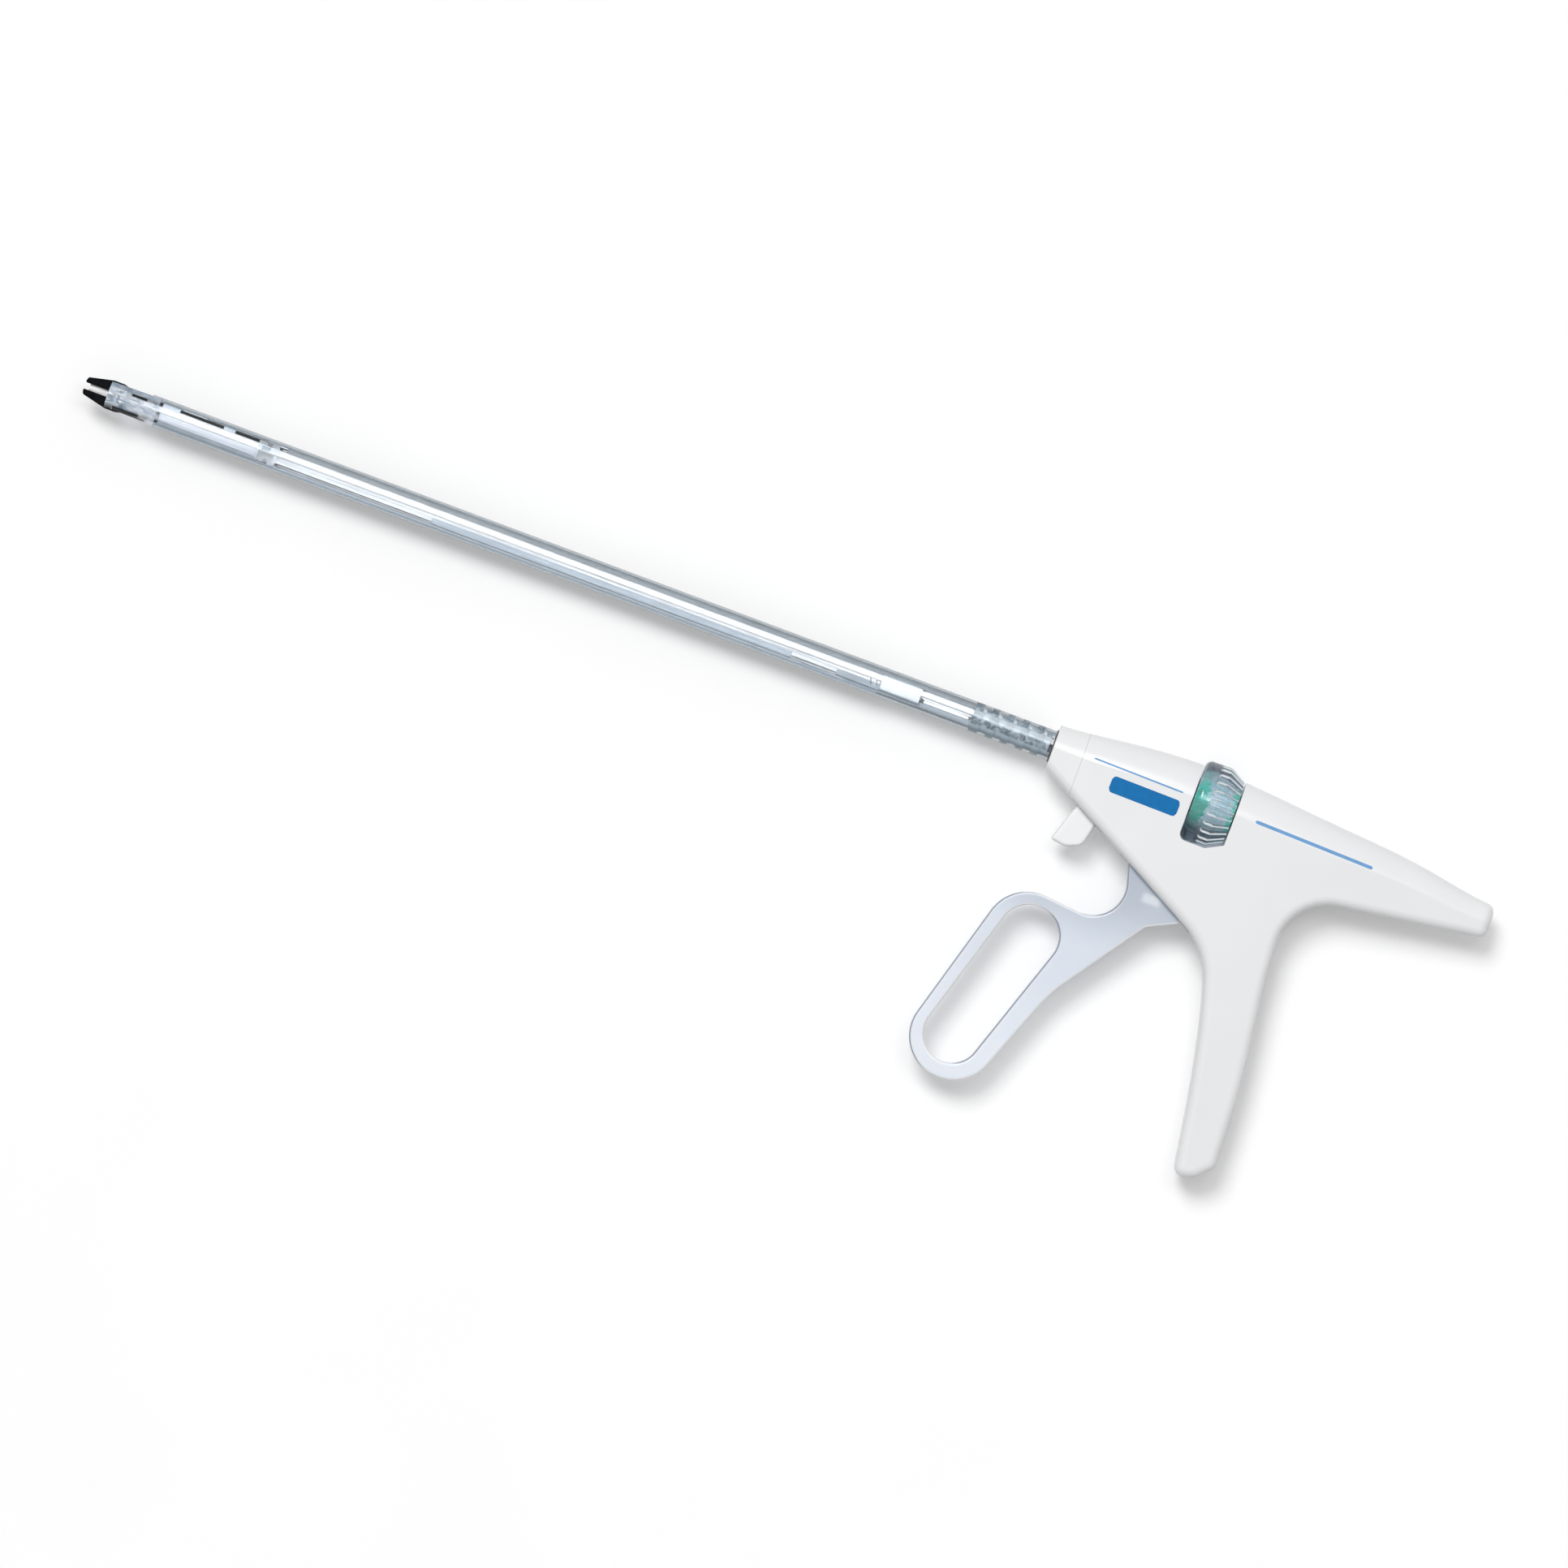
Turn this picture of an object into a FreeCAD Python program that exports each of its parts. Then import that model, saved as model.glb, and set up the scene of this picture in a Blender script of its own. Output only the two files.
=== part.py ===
import FreeCAD, Part
import math
import os

# Endoscopic clip applier, lying on its side, in millimetres
# The origin is on the shaft's axis at the housing's front face
# +X runs back to the tail, +Y to the housing's top, +Z through its thickness
# The two shells part at Z = 0 and the jaws are at the far -X end

Vector = FreeCAD.Vector

# Shaft
shaft_radius = 5.0
journal_radius = 4.8
tube_wall = 0.7
shaft_reach = 310.0
fork_length = 17.0
fork_slot_half = 2.1
fork_slot_stop = 3.0
fork_tip_radius = 4.75
tube_tail = 69.5

# Jaws
jaw_overhang = 8.2
jaw_arm_length = 63.2
jaw_arm_thick = 0.5
jaw_arm_outer = 3.2
jaw_arm_half = 1.3
jaw_head_half = 2.0
jaw_gap = 2.2
jaw_closed_gap = 0.2
jaw_shoulder = 4.8
jaw_tip_height = 2.9
clip_groove_depth = 0.35
jaw_eye_radius = 0.75
jaw_pin_radius = 0.35
cam_rise = 0.75
cam_shoulder_run = 3.0
cam_gap = 0.3
jaw_heel = 2.6
jaw_nose = 0.4
jaw_groove_stop = 1.0
jaw_narrowing = 1.5

# Clips
clip_wire = 0.8
clip_length = 9.0
clip_width = 4.6
clip_pitch = 9.4
clip_count = 20
clip_crown = 2.2
loaded_clip_length = 8.8
loaded_clip_crown = 1.2
loaded_clip_set_back = 2.3

# Closure channel and clip magazine inside the tube
channel_wall = 0.6
channel_open_height = 1.2
channel_strip_height = 3.3
channel_full_end = -60.0
channel_set_forward = 2.0
channel_key_end = 0.4
cover_start = -59.5
cover_length = 13.5
cover_height = 2.4
cover_top_half = 2.1
cover_wall = 0.28
cover_lean = 0.2
stop_pin_radius = 0.6
magazine_half = 2.8
magazine_base = -2.0
magazine_wall = 0.3
magazine_floor = 0.5
magazine_lip = 0.9
magazine_overhang = 6.0
runner_inset = 0.4
plug_set_forward = 1.5
plug_length = 26.5
plug_ring_pitch = 5.2
plug_ring_depth = 0.6
plug_ring_offset = 0.6
follower_length = 6.0
follower_set_forward = 10.0
anchor_length = 7.0
anchor_half = 3.3
anchor_pin_depth = 1.0
anchor_gap = 1.0

# Pusher bar
pusher_low_edge = 0.3
pusher_high_edge = 1.95
pusher_height = 1.45
pusher_thick = 0.5
pusher_tip_length = 1.6
pusher_tip_low = -0.6
pusher_tip_high = 0.85
pusher_clip_gap = 0.5

# Knob and its core
knob_front = 48.3
knob_length = 14.0
knob_radius = 13.5
knob_front_round = 2.3
knob_edge_round = 0.8
knob_flat_length = 8.7
knob_rear_radius = 10.5
knob_core_radius = 7.2
knob_core_inset = 0.3
flute_count = 25
flute_radius = 1.25
flute_depth = 0.75
flute_start = 5.0

# Housing
housing_length = 152.6
nose_top = 7.3
nose_half = 7.4
knob_top = 11.3
knob_half = 11.2
tail_top = 1.4
tail_half = 5.4
belly_front = -7.6
grip_low = -117.2
grip_neck = (68.85, -44.6)
crook = (88.7, -18.9)
crook_round = 17.0
grip_rear_high = (2.1, -28.1)
grip_rear_high_round = 100.0
grip_rear_low = (6.9, -63.1)
grip_rear_low_round = 250.0
grip_heel = (8.1, 7.2)
grip_heel_round = 3.5
grip_foot = (2.8, 1.9)
grip_foot_round = 6.0
grip_toe_back = 4.0
grip_front_low = (10.65, -39.4)
grip_front_low_round = 400.0
grip_front_high = (5.45, -17.4)
grip_front_high_round = 150.0
grip_neck_round = 26.0
tail_round = 3.0
tail_low = -9.75
wall = 1.8
rim_round = 3.0
cap_length = 10.0
cap_tongue = 2.0
tongue_wall = 1.0
tongue_gap = 0.5
nose_gap = 0.5
side_taper = 1.5
window_lining = 1.6
rib_front = 27.0
rib_thick = 1.5
peg_radius = 1.5
peg_half_length = 4.0
boss_radius = 3.0
boss_gap = 0.9
flank_limit = 20.0
far_limit = 200.0

# Lever
lever_pivot = (38.5, -15.5)
lever_swing = 28.0
lever_half_thick = 4.25
lever_edge_round = 0.9
lever_hub_radius = 4.5
lever_hub_half = 7.9
lever_pin_radius = 2.0
lever_pin_half = 9.0
lever_slot_ahead = 1.5
lever_slot_rear = 62.5
lever_slot_low = -46.0
lever_slot_top = -17.0
fork_arm_reach = 16.0
fork_arm_thick = 1.0
fork_tip_round = 2.2
fork_peg_radius = 1.5
fork_peg_gap = 0.15

# Trigger
trigger_pivot = (18.0, -13.0)
trigger_swing = 22.0
trigger_half_thick = 3.0
trigger_hub_radius = 3.2
trigger_pin_radius = 1.5
trigger_pin_half = 7.9
trigger_edge_round = 1.0
trigger_slot_behind_cap = 1.6
trigger_slot_rear = 24.4
trigger_slot_low = -30.0
trigger_slot_top = -11.0
finger_reach = 6.45
finger_tip_radius = 0.9
finger_root_radius = 2.4
finger_half = 1.5

# Spools
closure_groove_radius = 5.7
closure_flange_radius = 6.7
pusher_groove_radius = 5.5
pusher_flange_radius = 6.4
spool_flange_thick = 1.35
groove_play = 0.7

# Bushes, rings and springs
bush_wall = 1.3
bush_length = 9.0
bush_recess = 0.8
rear_bush_length = 4.0
rear_hub_wall = 2.0
thrust_ring_thick = 1.5
thrust_ring_wall = 2.0
closure_key_half = 1.6
closure_key_width = 1.2
pusher_key_half = 1.5
key_set_in = 0.1
key_sink = 0.2
closure_wire = 0.7
closure_turns = 4
pusher_wire = 0.6
pusher_turns = 4
follower_wire = 0.35
follower_turns = 9
follower_coil_radius = 0.9

# Clearances
running = 0.04
hinge_play = 0.05
slide_play = 0.1
slot_play = 0.3
bore_play = 0.4
window_gap = 0.45
ring_gap = 0.3

# Worked out from the sizes above
tube_bore = shaft_radius - tube_wall
fork_start = -shaft_reach
fork_end = fork_start - fork_length
jaw_tip = fork_end - jaw_overhang
jaw_pivot_x = jaw_tip + jaw_arm_length
jaw_arm_inner = jaw_arm_outer - jaw_arm_thick
jaw_eye_y = jaw_arm_outer - jaw_eye_radius
jaw_swing = math.degrees(math.asin((jaw_gap - jaw_closed_gap) / 2 / jaw_arm_length))
half_swing = math.radians(lever_swing / 2)
closure_stroke = 2 * fork_arm_reach * math.sin(half_swing)
closure_mid = lever_pivot[0] + fork_arm_reach * math.sin(half_swing)
half_pull = math.radians(trigger_swing / 2)
pusher_stroke = 2 * finger_reach * math.sin(half_pull)
pusher_mid = trigger_pivot[0] + finger_reach * math.sin(half_pull)
channel_outer = tube_bore - slide_play
channel_inner = channel_outer - channel_wall
channel_front = fork_start - channel_set_forward
knob_rear = knob_front + knob_length
window_front = knob_front - window_gap
window_rear = knob_rear + window_gap
window_radius = knob_radius + window_gap
tube_clear = journal_radius + bore_play
plug_rear = -plug_set_forward
plug_front = plug_rear - plug_length
bush_outer = journal_radius + running + bush_wall
closure_spool_half = fork_peg_radius + groove_play / 2
pusher_spool_half = finger_tip_radius + groove_play / 2
closure_spool_front = closure_mid - closure_spool_half - spool_flange_thick
pusher_spool_front = pusher_mid - pusher_spool_half - spool_flange_thick
closure_key_depth = closure_groove_radius - key_set_in
pusher_key_depth = pusher_groove_radius - key_set_in
pusher_top = pusher_height + pusher_thick
magazine_deep_floor = -clip_wire / 2 - slide_play
magazine_inside = magazine_half - magazine_wall
magazine_front = channel_front - magazine_overhang
magazine_rear_start = jaw_pivot_x + anchor_length / 2 + anchor_gap
follower_front = channel_full_end - follower_set_forward
stop_pin_x = cover_start + cover_length + stop_pin_radius
stop_pin_y = pusher_low_edge - slide_play - follower_coil_radius - follower_wire / 2
loaded_crown_x = fork_end + loaded_clip_set_back
pusher_front = loaded_crown_x + pusher_stroke + pusher_clip_gap
anchor_low = pusher_top + 2 * slide_play


def rounded_wire(points):
    """Closed wire through corners (x, y, radius), with a tangent arc at each rounded corner."""
    starts = []
    middles = []
    ends = []
    for index, (x, y, radius) in enumerate(points):
        corner = Vector(x, y, 0)
        back = (Vector(*points[index - 1][:2], 0) - corner).normalize()
        ahead = (Vector(*points[(index + 1) % len(points)][:2], 0) - corner).normalize()
        if radius == 0:
            starts.append(corner)
            middles.append(None)
            ends.append(corner)
            continue
        half = back.getAngle(ahead) / 2
        tangent = radius / math.tan(half)
        centre = corner + (back + ahead).normalize() * (radius / math.sin(half))
        starts.append(corner + back * tangent)
        middles.append(centre + (corner - centre).normalize() * radius)
        ends.append(corner + ahead * tangent)
    edges = []
    for index, middle in enumerate(middles):
        if middle is not None:
            edges.append(Part.Arc(starts[index], middle, ends[index]).toShape())
        following = starts[(index + 1) % len(points)]
        if (following - ends[index]).Length > 1e-6:
            edges.append(Part.LineSegment(ends[index], following).toShape())
    return Part.Wire(edges)


def prism(wire, low, high):
    """Flat outline in the XY plane, raised from low to high in Z."""
    face = Part.Face(wire)
    face.translate(Vector(0, 0, low))
    return face.extrude(Vector(0, 0, high - low))


def box(x0, x1, y0, y1, z0, z1):
    """Box between two corners."""
    return Part.makeBox(x1 - x0, y1 - y0, z1 - z0, Vector(x0, y0, z0))


def rod(radius, x0, x1, y=0.0, z=0.0):
    """Cylinder along X."""
    return Part.makeCylinder(radius, x1 - x0, Vector(x0, y, z), Vector(1, 0, 0))


def ring(outer, inner, x0, x1):
    """Tube about the shaft's axis."""
    return rod(outer, x0, x1).cut(rod(inner, x0 - 1, x1 + 1))


def post(radius, x, y, z0, z1):
    """Cylinder along Z."""
    return Part.makeCylinder(radius, z1 - z0, Vector(x, y, z0))


def tapered_slot(first, first_radius, second, second_radius):
    """Wire round two circles of the XY plane and their outer tangents."""
    a = Vector(*first, 0)
    b = Vector(*second, 0)
    along = b - a
    turn = math.acos((first_radius - second_radius) / along.Length)
    heading = math.atan2(along.y, along.x)

    def at(centre, radius, angle):
        return centre + Vector(math.cos(angle), math.sin(angle), 0) * radius

    left_a = at(a, first_radius, heading + turn)
    right_a = at(a, first_radius, heading - turn)
    left_b = at(b, second_radius, heading + turn)
    right_b = at(b, second_radius, heading - turn)
    return Part.Wire([
        Part.Arc(left_a, at(a, first_radius, heading + math.pi), right_a).toShape(),
        Part.LineSegment(right_a, right_b).toShape(),
        Part.Arc(right_b, at(b, second_radius, heading), left_b).toShape(),
        Part.LineSegment(left_b, left_a).toShape(),
    ])


def coil(radius, wire_radius, x0, x1, turns, y=0.0, z=0.0):
    """Round-wire compression spring along X."""
    height = x1 - x0 - 2 * wire_radius
    path = Part.makeHelix(height / turns, height, radius)
    start = Vector(radius, 0, 0)
    heading = Vector(0, 2 * math.pi * radius, height / turns)
    section = Part.Wire(Part.makeCircle(wire_radius, start, heading))
    spring = Part.Wire(path).makePipeShell([section], True, True)
    spring.rotate(Vector(), Vector(0, 1, 0), 90)
    spring.translate(Vector(x0 + wire_radius, y, z))
    return spring


def solid(shape):
    """The single solid of a boolean's result."""
    return shape.Solids[0]


# Housing

def housing_stations(inset):
    """(x, top, half thickness) along the housing: round barrel, widest at the knob."""
    overrun = 4.0
    stations = [
        (-overrun, nose_top, nose_half),
        (20.0, 0.55 * nose_top + 0.45 * knob_top + 0.15, 0.45 * nose_half + 0.55 * knob_half + 0.1),
        (knob_front, knob_top, knob_half - 0.1),
        (knob_rear, knob_top - 0.55, knob_half),
        (0.8 * knob_rear + 0.2 * housing_length, knob_top - 2.05, knob_half - 0.4),
        (0.58 * knob_rear + 0.42 * housing_length, knob_top - 3.7, knob_half - 1.4),
        (0.27 * knob_rear + 0.73 * housing_length, knob_top - 6.55, knob_half - 3.4),
        (housing_length + overrun, tail_top, tail_half),
    ]
    return [(x, top - inset, half - inset) for x, top, half in stations]


def barrel_section(x, top, half):
    """Cross section at x: a half-round top over two flanks that draw in towards the grip's end."""
    bottom = -130.0
    lean = math.radians(side_taper)
    shoulder_y = top - half + half * math.sin(lean)
    shoulder_z = half * math.cos(lean)
    foot_z = shoulder_z - (shoulder_y - bottom) * math.tan(lean)
    left_shoulder = Vector(x, shoulder_y, shoulder_z)
    right_shoulder = Vector(x, shoulder_y, -shoulder_z)
    left_foot = Vector(x, bottom, foot_z)
    right_foot = Vector(x, bottom, -foot_z)
    return Part.Wire([
        Part.Arc(left_shoulder, Vector(x, top, 0), right_shoulder).toShape(),
        Part.LineSegment(right_shoulder, right_foot).toShape(),
        Part.LineSegment(right_foot, left_foot).toShape(),
        Part.LineSegment(left_foot, left_shoulder).toShape(),
    ])


def apart(point, offset):
    """Point that lies an offset away from another."""
    return point[0] + offset[0], point[1] + offset[1]


def side_outline():
    """Side view of the housing below its top line: belly, grip, crook and tail."""
    above = 25.0
    return rounded_wire([
        (0.0, above, 0),
        (housing_length, above, 0),
        (housing_length, tail_low, tail_round),
        (*crook, crook_round),
        (*apart(crook, grip_rear_high), grip_rear_high_round),
        (*apart(crook, grip_rear_low), grip_rear_low_round),
        (crook[0] + grip_heel[0], grip_low + grip_heel[1], grip_heel_round),
        (crook[0] + grip_foot[0], grip_low + grip_foot[1], grip_foot_round),
        (crook[0] - grip_toe_back, grip_low, grip_heel_round),
        (*apart(grip_neck, grip_front_low), grip_front_low_round),
        (*apart(grip_neck, grip_front_high), grip_front_high_round),
        (*grip_neck, grip_neck_round),
        (0.0, belly_front, 0),
    ])


def housing_form(inset):
    """Whole housing as one solid, drawn in by inset on every side."""
    barrel = Part.makeLoft([barrel_section(*station) for station in housing_stations(inset)], True)
    outline = side_outline()
    if inset:
        outline = outline.makeOffset2D(-inset)
    return solid(prism(outline, -flank_limit, flank_limit).common(barrel))


def rounded_housing():
    """Outer form with its long lower rims rounded."""
    form = housing_form(0)
    rims = []
    for edge in form.Edges:
        middle = edge.valueAt((edge.FirstParameter + edge.LastParameter) / 2)
        slopes = []
        for face in form.ancestorsOfType(edge, Part.Face):
            slopes.append(abs(face.normalAt(*face.Surface.parameter(middle)).z))
        along_flank = min(slopes) < 0.2 and max(slopes) > 0.85
        if along_flank and 0.5 < middle.x < housing_length - 0.2:
            rims.append(edge)
    return form.makeFillet(rim_round, rims)


def window_prism(margin):
    """Straight cut through the flanks for the knob, following the knob's side view."""
    front = window_front - margin
    rear = window_rear + margin
    low = -window_radius - margin
    chamfer_low = -knob_rear_radius - window_gap - margin
    chamfer_x = knob_front + knob_flat_length
    wire = rounded_wire([
        (front, 30.0, 0),
        (rear, 30.0, 0),
        (rear, chamfer_low, 0),
        (chamfer_x, low, 0),
        (front, low, knob_front_round),
    ])
    return prism(wire, -flank_limit, flank_limit)


def peg_places():
    """Where the pegs join the two shells: belly, behind the lever, grip and tail."""
    return [
        (lever_pivot[0] - 10.9, lever_pivot[1]),
        (crook[0] - 14.2, crook[1] - 5.1),
        (crook[0] - 7.2, grip_low + 57.2),
        (crook[0] + 0.8, grip_low + 17.2),
        ((crook[0] + housing_length) / 2 - 10.65, tail_low + 2.75),
        (housing_length - 10.6, tail_low + 6.25),
    ]


def housing_cavity():
    """Hollow of the housing less the ribs, bosses and linings that stand in it."""
    standing = [
        window_prism(window_lining),
        box(rib_front, rib_front + rib_thick, -10.0, 20.0, -flank_limit, flank_limit),
        rod(bush_outer + rear_hub_wall, window_rear, window_rear + rear_bush_length),
    ]
    for x, y in peg_places():
        standing.append(post(boss_radius, x, y, -flank_limit, flank_limit))
    boss_face = trigger_half_thick + slot_play + boss_gap
    standing.append(post(boss_radius, *trigger_pivot, boss_face, flank_limit))
    standing.append(post(boss_radius, *trigger_pivot, -flank_limit, -boss_face))
    return housing_form(wall).cut(standing)


def shell_body(outer):
    """Both shells as one body behind the nose cap, with every cut-out."""
    slot_half = lever_half_thick + slot_play
    trigger_slot_half = trigger_half_thick + slot_play
    cuts = [
        housing_cavity(),
        window_prism(0),
        box(-1, cap_length, -20, 20, -flank_limit, flank_limit),
        rod(tube_clear, 0, window_rear + 1),
        rod(bush_outer, window_rear, window_rear + rear_bush_length + 1),
        box(lever_pivot[0] - lever_hub_radius - lever_slot_ahead, lever_slot_rear,
            lever_slot_low, lever_slot_top, -slot_half, slot_half),
        box(cap_length + trigger_slot_behind_cap, trigger_slot_rear,
            trigger_slot_low, trigger_slot_top, -trigger_slot_half, trigger_slot_half),
        post(lever_pin_radius, *lever_pivot, -lever_pin_half, lever_pin_half),
        post(trigger_pin_radius, *trigger_pivot, -trigger_pin_half, trigger_pin_half),
    ]
    for x, y in peg_places():
        cuts.append(post(peg_radius, x, y, -peg_half_length, peg_half_length))
    return outer.cut(cuts)


def left_shell(body):
    """Shell on the +Z side."""
    return solid(body.common(box(-far_limit, far_limit, -far_limit, far_limit, 0, far_limit)))


def right_shell(body):
    """Shell on the -Z side."""
    return solid(body.common(box(-far_limit, far_limit, -far_limit, far_limit, -far_limit, 0)))


def nose_cap(outer):
    """Front cap with a tongue that enters the shells and a bore for the bush."""
    cap = outer.common(box(-1, cap_length, -30, 30, -30, 30))
    pocket_top = -bush_outer - window_lining
    pocket = housing_form(wall).common(
        box(wall, cap_length + 1, -30, pocket_top, -flank_limit, flank_limit))
    tongue = housing_form(wall + slide_play).common(
        box(cap_length, cap_length + cap_tongue - tongue_gap, -30, 30, -flank_limit, flank_limit))
    tongue = tongue.cut(housing_form(wall + slide_play + tongue_wall))
    cap = cap.cut(pocket).fuse(tongue)
    cuts = [
        rod(shaft_radius + nose_gap, -1, bush_recess + 1),
        rod(bush_outer, bush_recess, cap_length + cap_tongue),
    ]
    return solid(cap.cut(cuts))


def shell_pegs():
    """Pegs that line up the two shells."""
    return Part.makeCompound([
        post(peg_radius, x, y, -peg_half_length, peg_half_length) for x, y in peg_places()])


def front_bush():
    """Bearing of the shaft in the nose cap."""
    return ring(bush_outer, journal_radius + running, bush_recess, bush_recess + bush_length)


def rear_bush():
    """Bearing of the shaft behind the knob."""
    return ring(bush_outer, journal_radius + running, window_rear, window_rear + rear_bush_length)


def closure_return_spring():
    """Spring that opens the lever and the jaws."""
    seat = rib_front + rib_thick
    radius = tube_clear + slot_play + closure_wire / 2
    return coil(radius, closure_wire / 2, seat, closure_spool_front, closure_turns)


def pusher_return_spring():
    """Spring that brings the trigger and the pusher bar back."""
    seat = bush_recess + bush_length
    radius = tube_clear + slot_play + pusher_wire / 2
    return coil(radius, pusher_wire / 2, seat, pusher_spool_front, pusher_turns)


# Shaft

def outer_tube():
    """Clear tube, turned down inside the housing, with a slot for each spool's key."""
    tube = rod(shaft_radius, fork_start, 0).fuse(rod(journal_radius, 0, tube_tail))
    tube = tube.cut(rod(tube_bore, fork_start - 1, tube_tail + 1))
    closure_slot = box(
        closure_mid - closure_key_half - closure_stroke - slot_play,
        closure_mid + closure_key_half + slot_play,
        -closure_key_width - slide_play, closure_key_width + slide_play, -10, 0)
    pusher_slot = box(
        pusher_mid - pusher_key_half - pusher_stroke - slot_play,
        pusher_mid + pusher_key_half + slot_play,
        pusher_low_edge - slide_play, pusher_high_edge + slide_play, 0, 10)
    return solid(tube.cut([closure_slot, pusher_slot]))


def nose_fork():
    """Clear front end of the shaft: two cheeks with the jaws between them."""
    profile = Part.Face(Part.makePolygon([
        Vector(fork_start, tube_bore, 0),
        Vector(fork_start, shaft_radius, 0),
        Vector(fork_end, fork_tip_radius, 0),
        Vector(fork_end, tube_bore, 0),
        Vector(fork_start, tube_bore, 0),
    ]))
    fork = profile.revolve(Vector(), Vector(1, 0, 0), 360)
    slot = box(fork_end - 1, fork_start - fork_slot_stop, -10, 10, -fork_slot_half, fork_slot_half)
    return solid(fork.cut(slot))


def knob_blank():
    """Side view of the knob turned about the shaft's axis."""
    wire = rounded_wire([
        (knob_front, knob_core_radius, 0),
        (knob_front, knob_radius, knob_front_round),
        (knob_front + knob_flat_length, knob_radius, knob_edge_round),
        (knob_rear, knob_rear_radius, knob_edge_round),
        (knob_rear, knob_core_radius, 0),
    ])
    return Part.Face(wire).revolve(Vector(), Vector(1, 0, 0), 360)


def rotation_knob():
    """Clear knob with finger flutes that run off its rear edge."""
    knob = knob_blank()
    height = knob_radius + flute_radius - flute_depth
    start = Vector(knob_front + flute_start + flute_radius, height, 0)
    bend = Vector(knob_front + knob_flat_length, height, 0)
    slope = Vector(knob_rear, knob_rear_radius, 0) - Vector(knob_front + knob_flat_length, knob_radius, 0)
    flute = Part.makeSphere(flute_radius, start)
    flute = flute.fuse(Part.makeCylinder(flute_radius, (bend - start).Length, start, bend - start))
    flute = flute.fuse(Part.makeSphere(flute_radius, bend))
    flute = flute.fuse(Part.makeCylinder(flute_radius, slope.Length + 1, bend, slope))
    flutes = []
    for index in range(flute_count):
        copy = flute.copy()
        copy.rotate(Vector(), Vector(1, 0, 0), index * 360 / flute_count)
        flutes.append(copy)
    return solid(knob.cut(flutes))


def knob_core():
    """Coloured collar that joins the knob to the tube."""
    return ring(knob_core_radius, journal_radius, knob_front + knob_core_inset, knob_rear - knob_core_inset)


def thrust_ring():
    """Ring that keeps the tube from sliding forward."""
    front = window_rear + rear_bush_length + ring_gap
    return ring(journal_radius + thrust_ring_wall, journal_radius, front, front + thrust_ring_thick)


def seal_plug():
    """Ribbed plug that seals the tube round the two sliding strips."""
    plug = rod(tube_bore, plug_front, plug_rear)
    relief = ring(tube_bore + 1, tube_bore - plug_ring_depth, 0, plug_ring_pitch / 2)
    cuts = [
        box(plug_front - 1, plug_rear + 1, -5, 5, -5, -channel_strip_height + slide_play),
        box(plug_front - 1, plug_rear + 1, pusher_low_edge - slide_play, pusher_high_edge + slide_play,
            pusher_height - slide_play, pusher_top + slide_play),
    ]
    for index in range(int(plug_length / plug_ring_pitch)):
        groove = relief.copy()
        groove.translate(Vector(plug_front + plug_ring_pitch * (index + plug_ring_offset), 0, 0))
        cuts.append(groove)
    return solid(plug.cut(cuts))


def clip_magazine():
    """Tray that carries the stack of clips up to the jaws."""
    runner_half = magazine_half - runner_inset
    runner = box(magazine_front, plug_front, -runner_half, runner_half,
                 magazine_base, magazine_base + magazine_floor)
    trough = box(magazine_rear_start, plug_front, -magazine_half, magazine_half, magazine_base, magazine_lip)
    hollow = box(magazine_rear_start - 1, plug_front + 1, -magazine_inside, magazine_inside,
                 magazine_deep_floor, 5)
    return solid(trough.cut(hollow).fuse(runner))


def magazine_cover():
    """Hat-shaped cover over the magazine's rear end, with the pusher bar running under it."""
    def section(half, foot, top_half, top):
        corners = [(-half, magazine_lip), (-half, foot), (-top_half, top),
                   (top_half, top), (half, foot), (half, magazine_lip)]
        points = [Vector(cover_start, y, z) for y, z in corners]
        return Part.Face(Part.makePolygon(points + points[:1]))

    foot = magazine_lip + cover_wall
    outer = section(magazine_half, foot, cover_top_half + cover_lean, cover_height)
    inner = section(magazine_inside, foot, cover_top_half, cover_height - cover_wall)
    return solid(outer.cut(inner).extrude(Vector(cover_length, 0, 0)))


def spring_stop_pin():
    """Pin across the magazine that the follower's spring bears on."""
    return post(stop_pin_radius, stop_pin_x, stop_pin_y, magazine_deep_floor, cover_height)


def clip_shape(width, length, crown):
    """Open clip with two straight legs and a pointed crown at x = 0."""
    half = width / 2
    neck = crown + clip_wire * 0.35
    wire = Part.makePolygon([
        Vector(0, 0, 0),
        Vector(-crown, half, 0),
        Vector(-length, half, 0),
        Vector(-length, half - clip_wire, 0),
        Vector(-neck, half - clip_wire, 0),
        Vector(-clip_wire * 1.5, 0, 0),
        Vector(-neck, -half + clip_wire, 0),
        Vector(-length, -half + clip_wire, 0),
        Vector(-length, -half, 0),
        Vector(-crown, -half, 0),
        Vector(0, 0, 0),
    ])
    return prism(wire, -clip_wire / 2, clip_wire / 2)


def clip_stack():
    """Clips in line in the magazine."""
    first = clip_shape(clip_width, clip_length, clip_crown)
    clips = []
    for index in range(clip_count):
        clip = first.copy()
        clip.translate(Vector(follower_front - ring_gap - index * clip_pitch, 0, 0))
        clips.append(clip)
    return Part.makeCompound(clips)


def clip_follower():
    """Block that presses the stack forward."""
    half = magazine_inside - slide_play
    low = magazine_deep_floor + slide_play / 2
    return box(follower_front, follower_front + follower_length, -half, half, low, magazine_lip - slide_play)


def follower_spring():
    """Spring behind the follower, beside the pusher bar."""
    height = magazine_deep_floor + follower_coil_radius + follower_wire / 2 + slide_play / 2
    return coil(follower_coil_radius, follower_wire / 2, follower_front + follower_length,
                stop_pin_x - stop_pin_radius, follower_turns, y=stop_pin_y, z=height)


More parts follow.
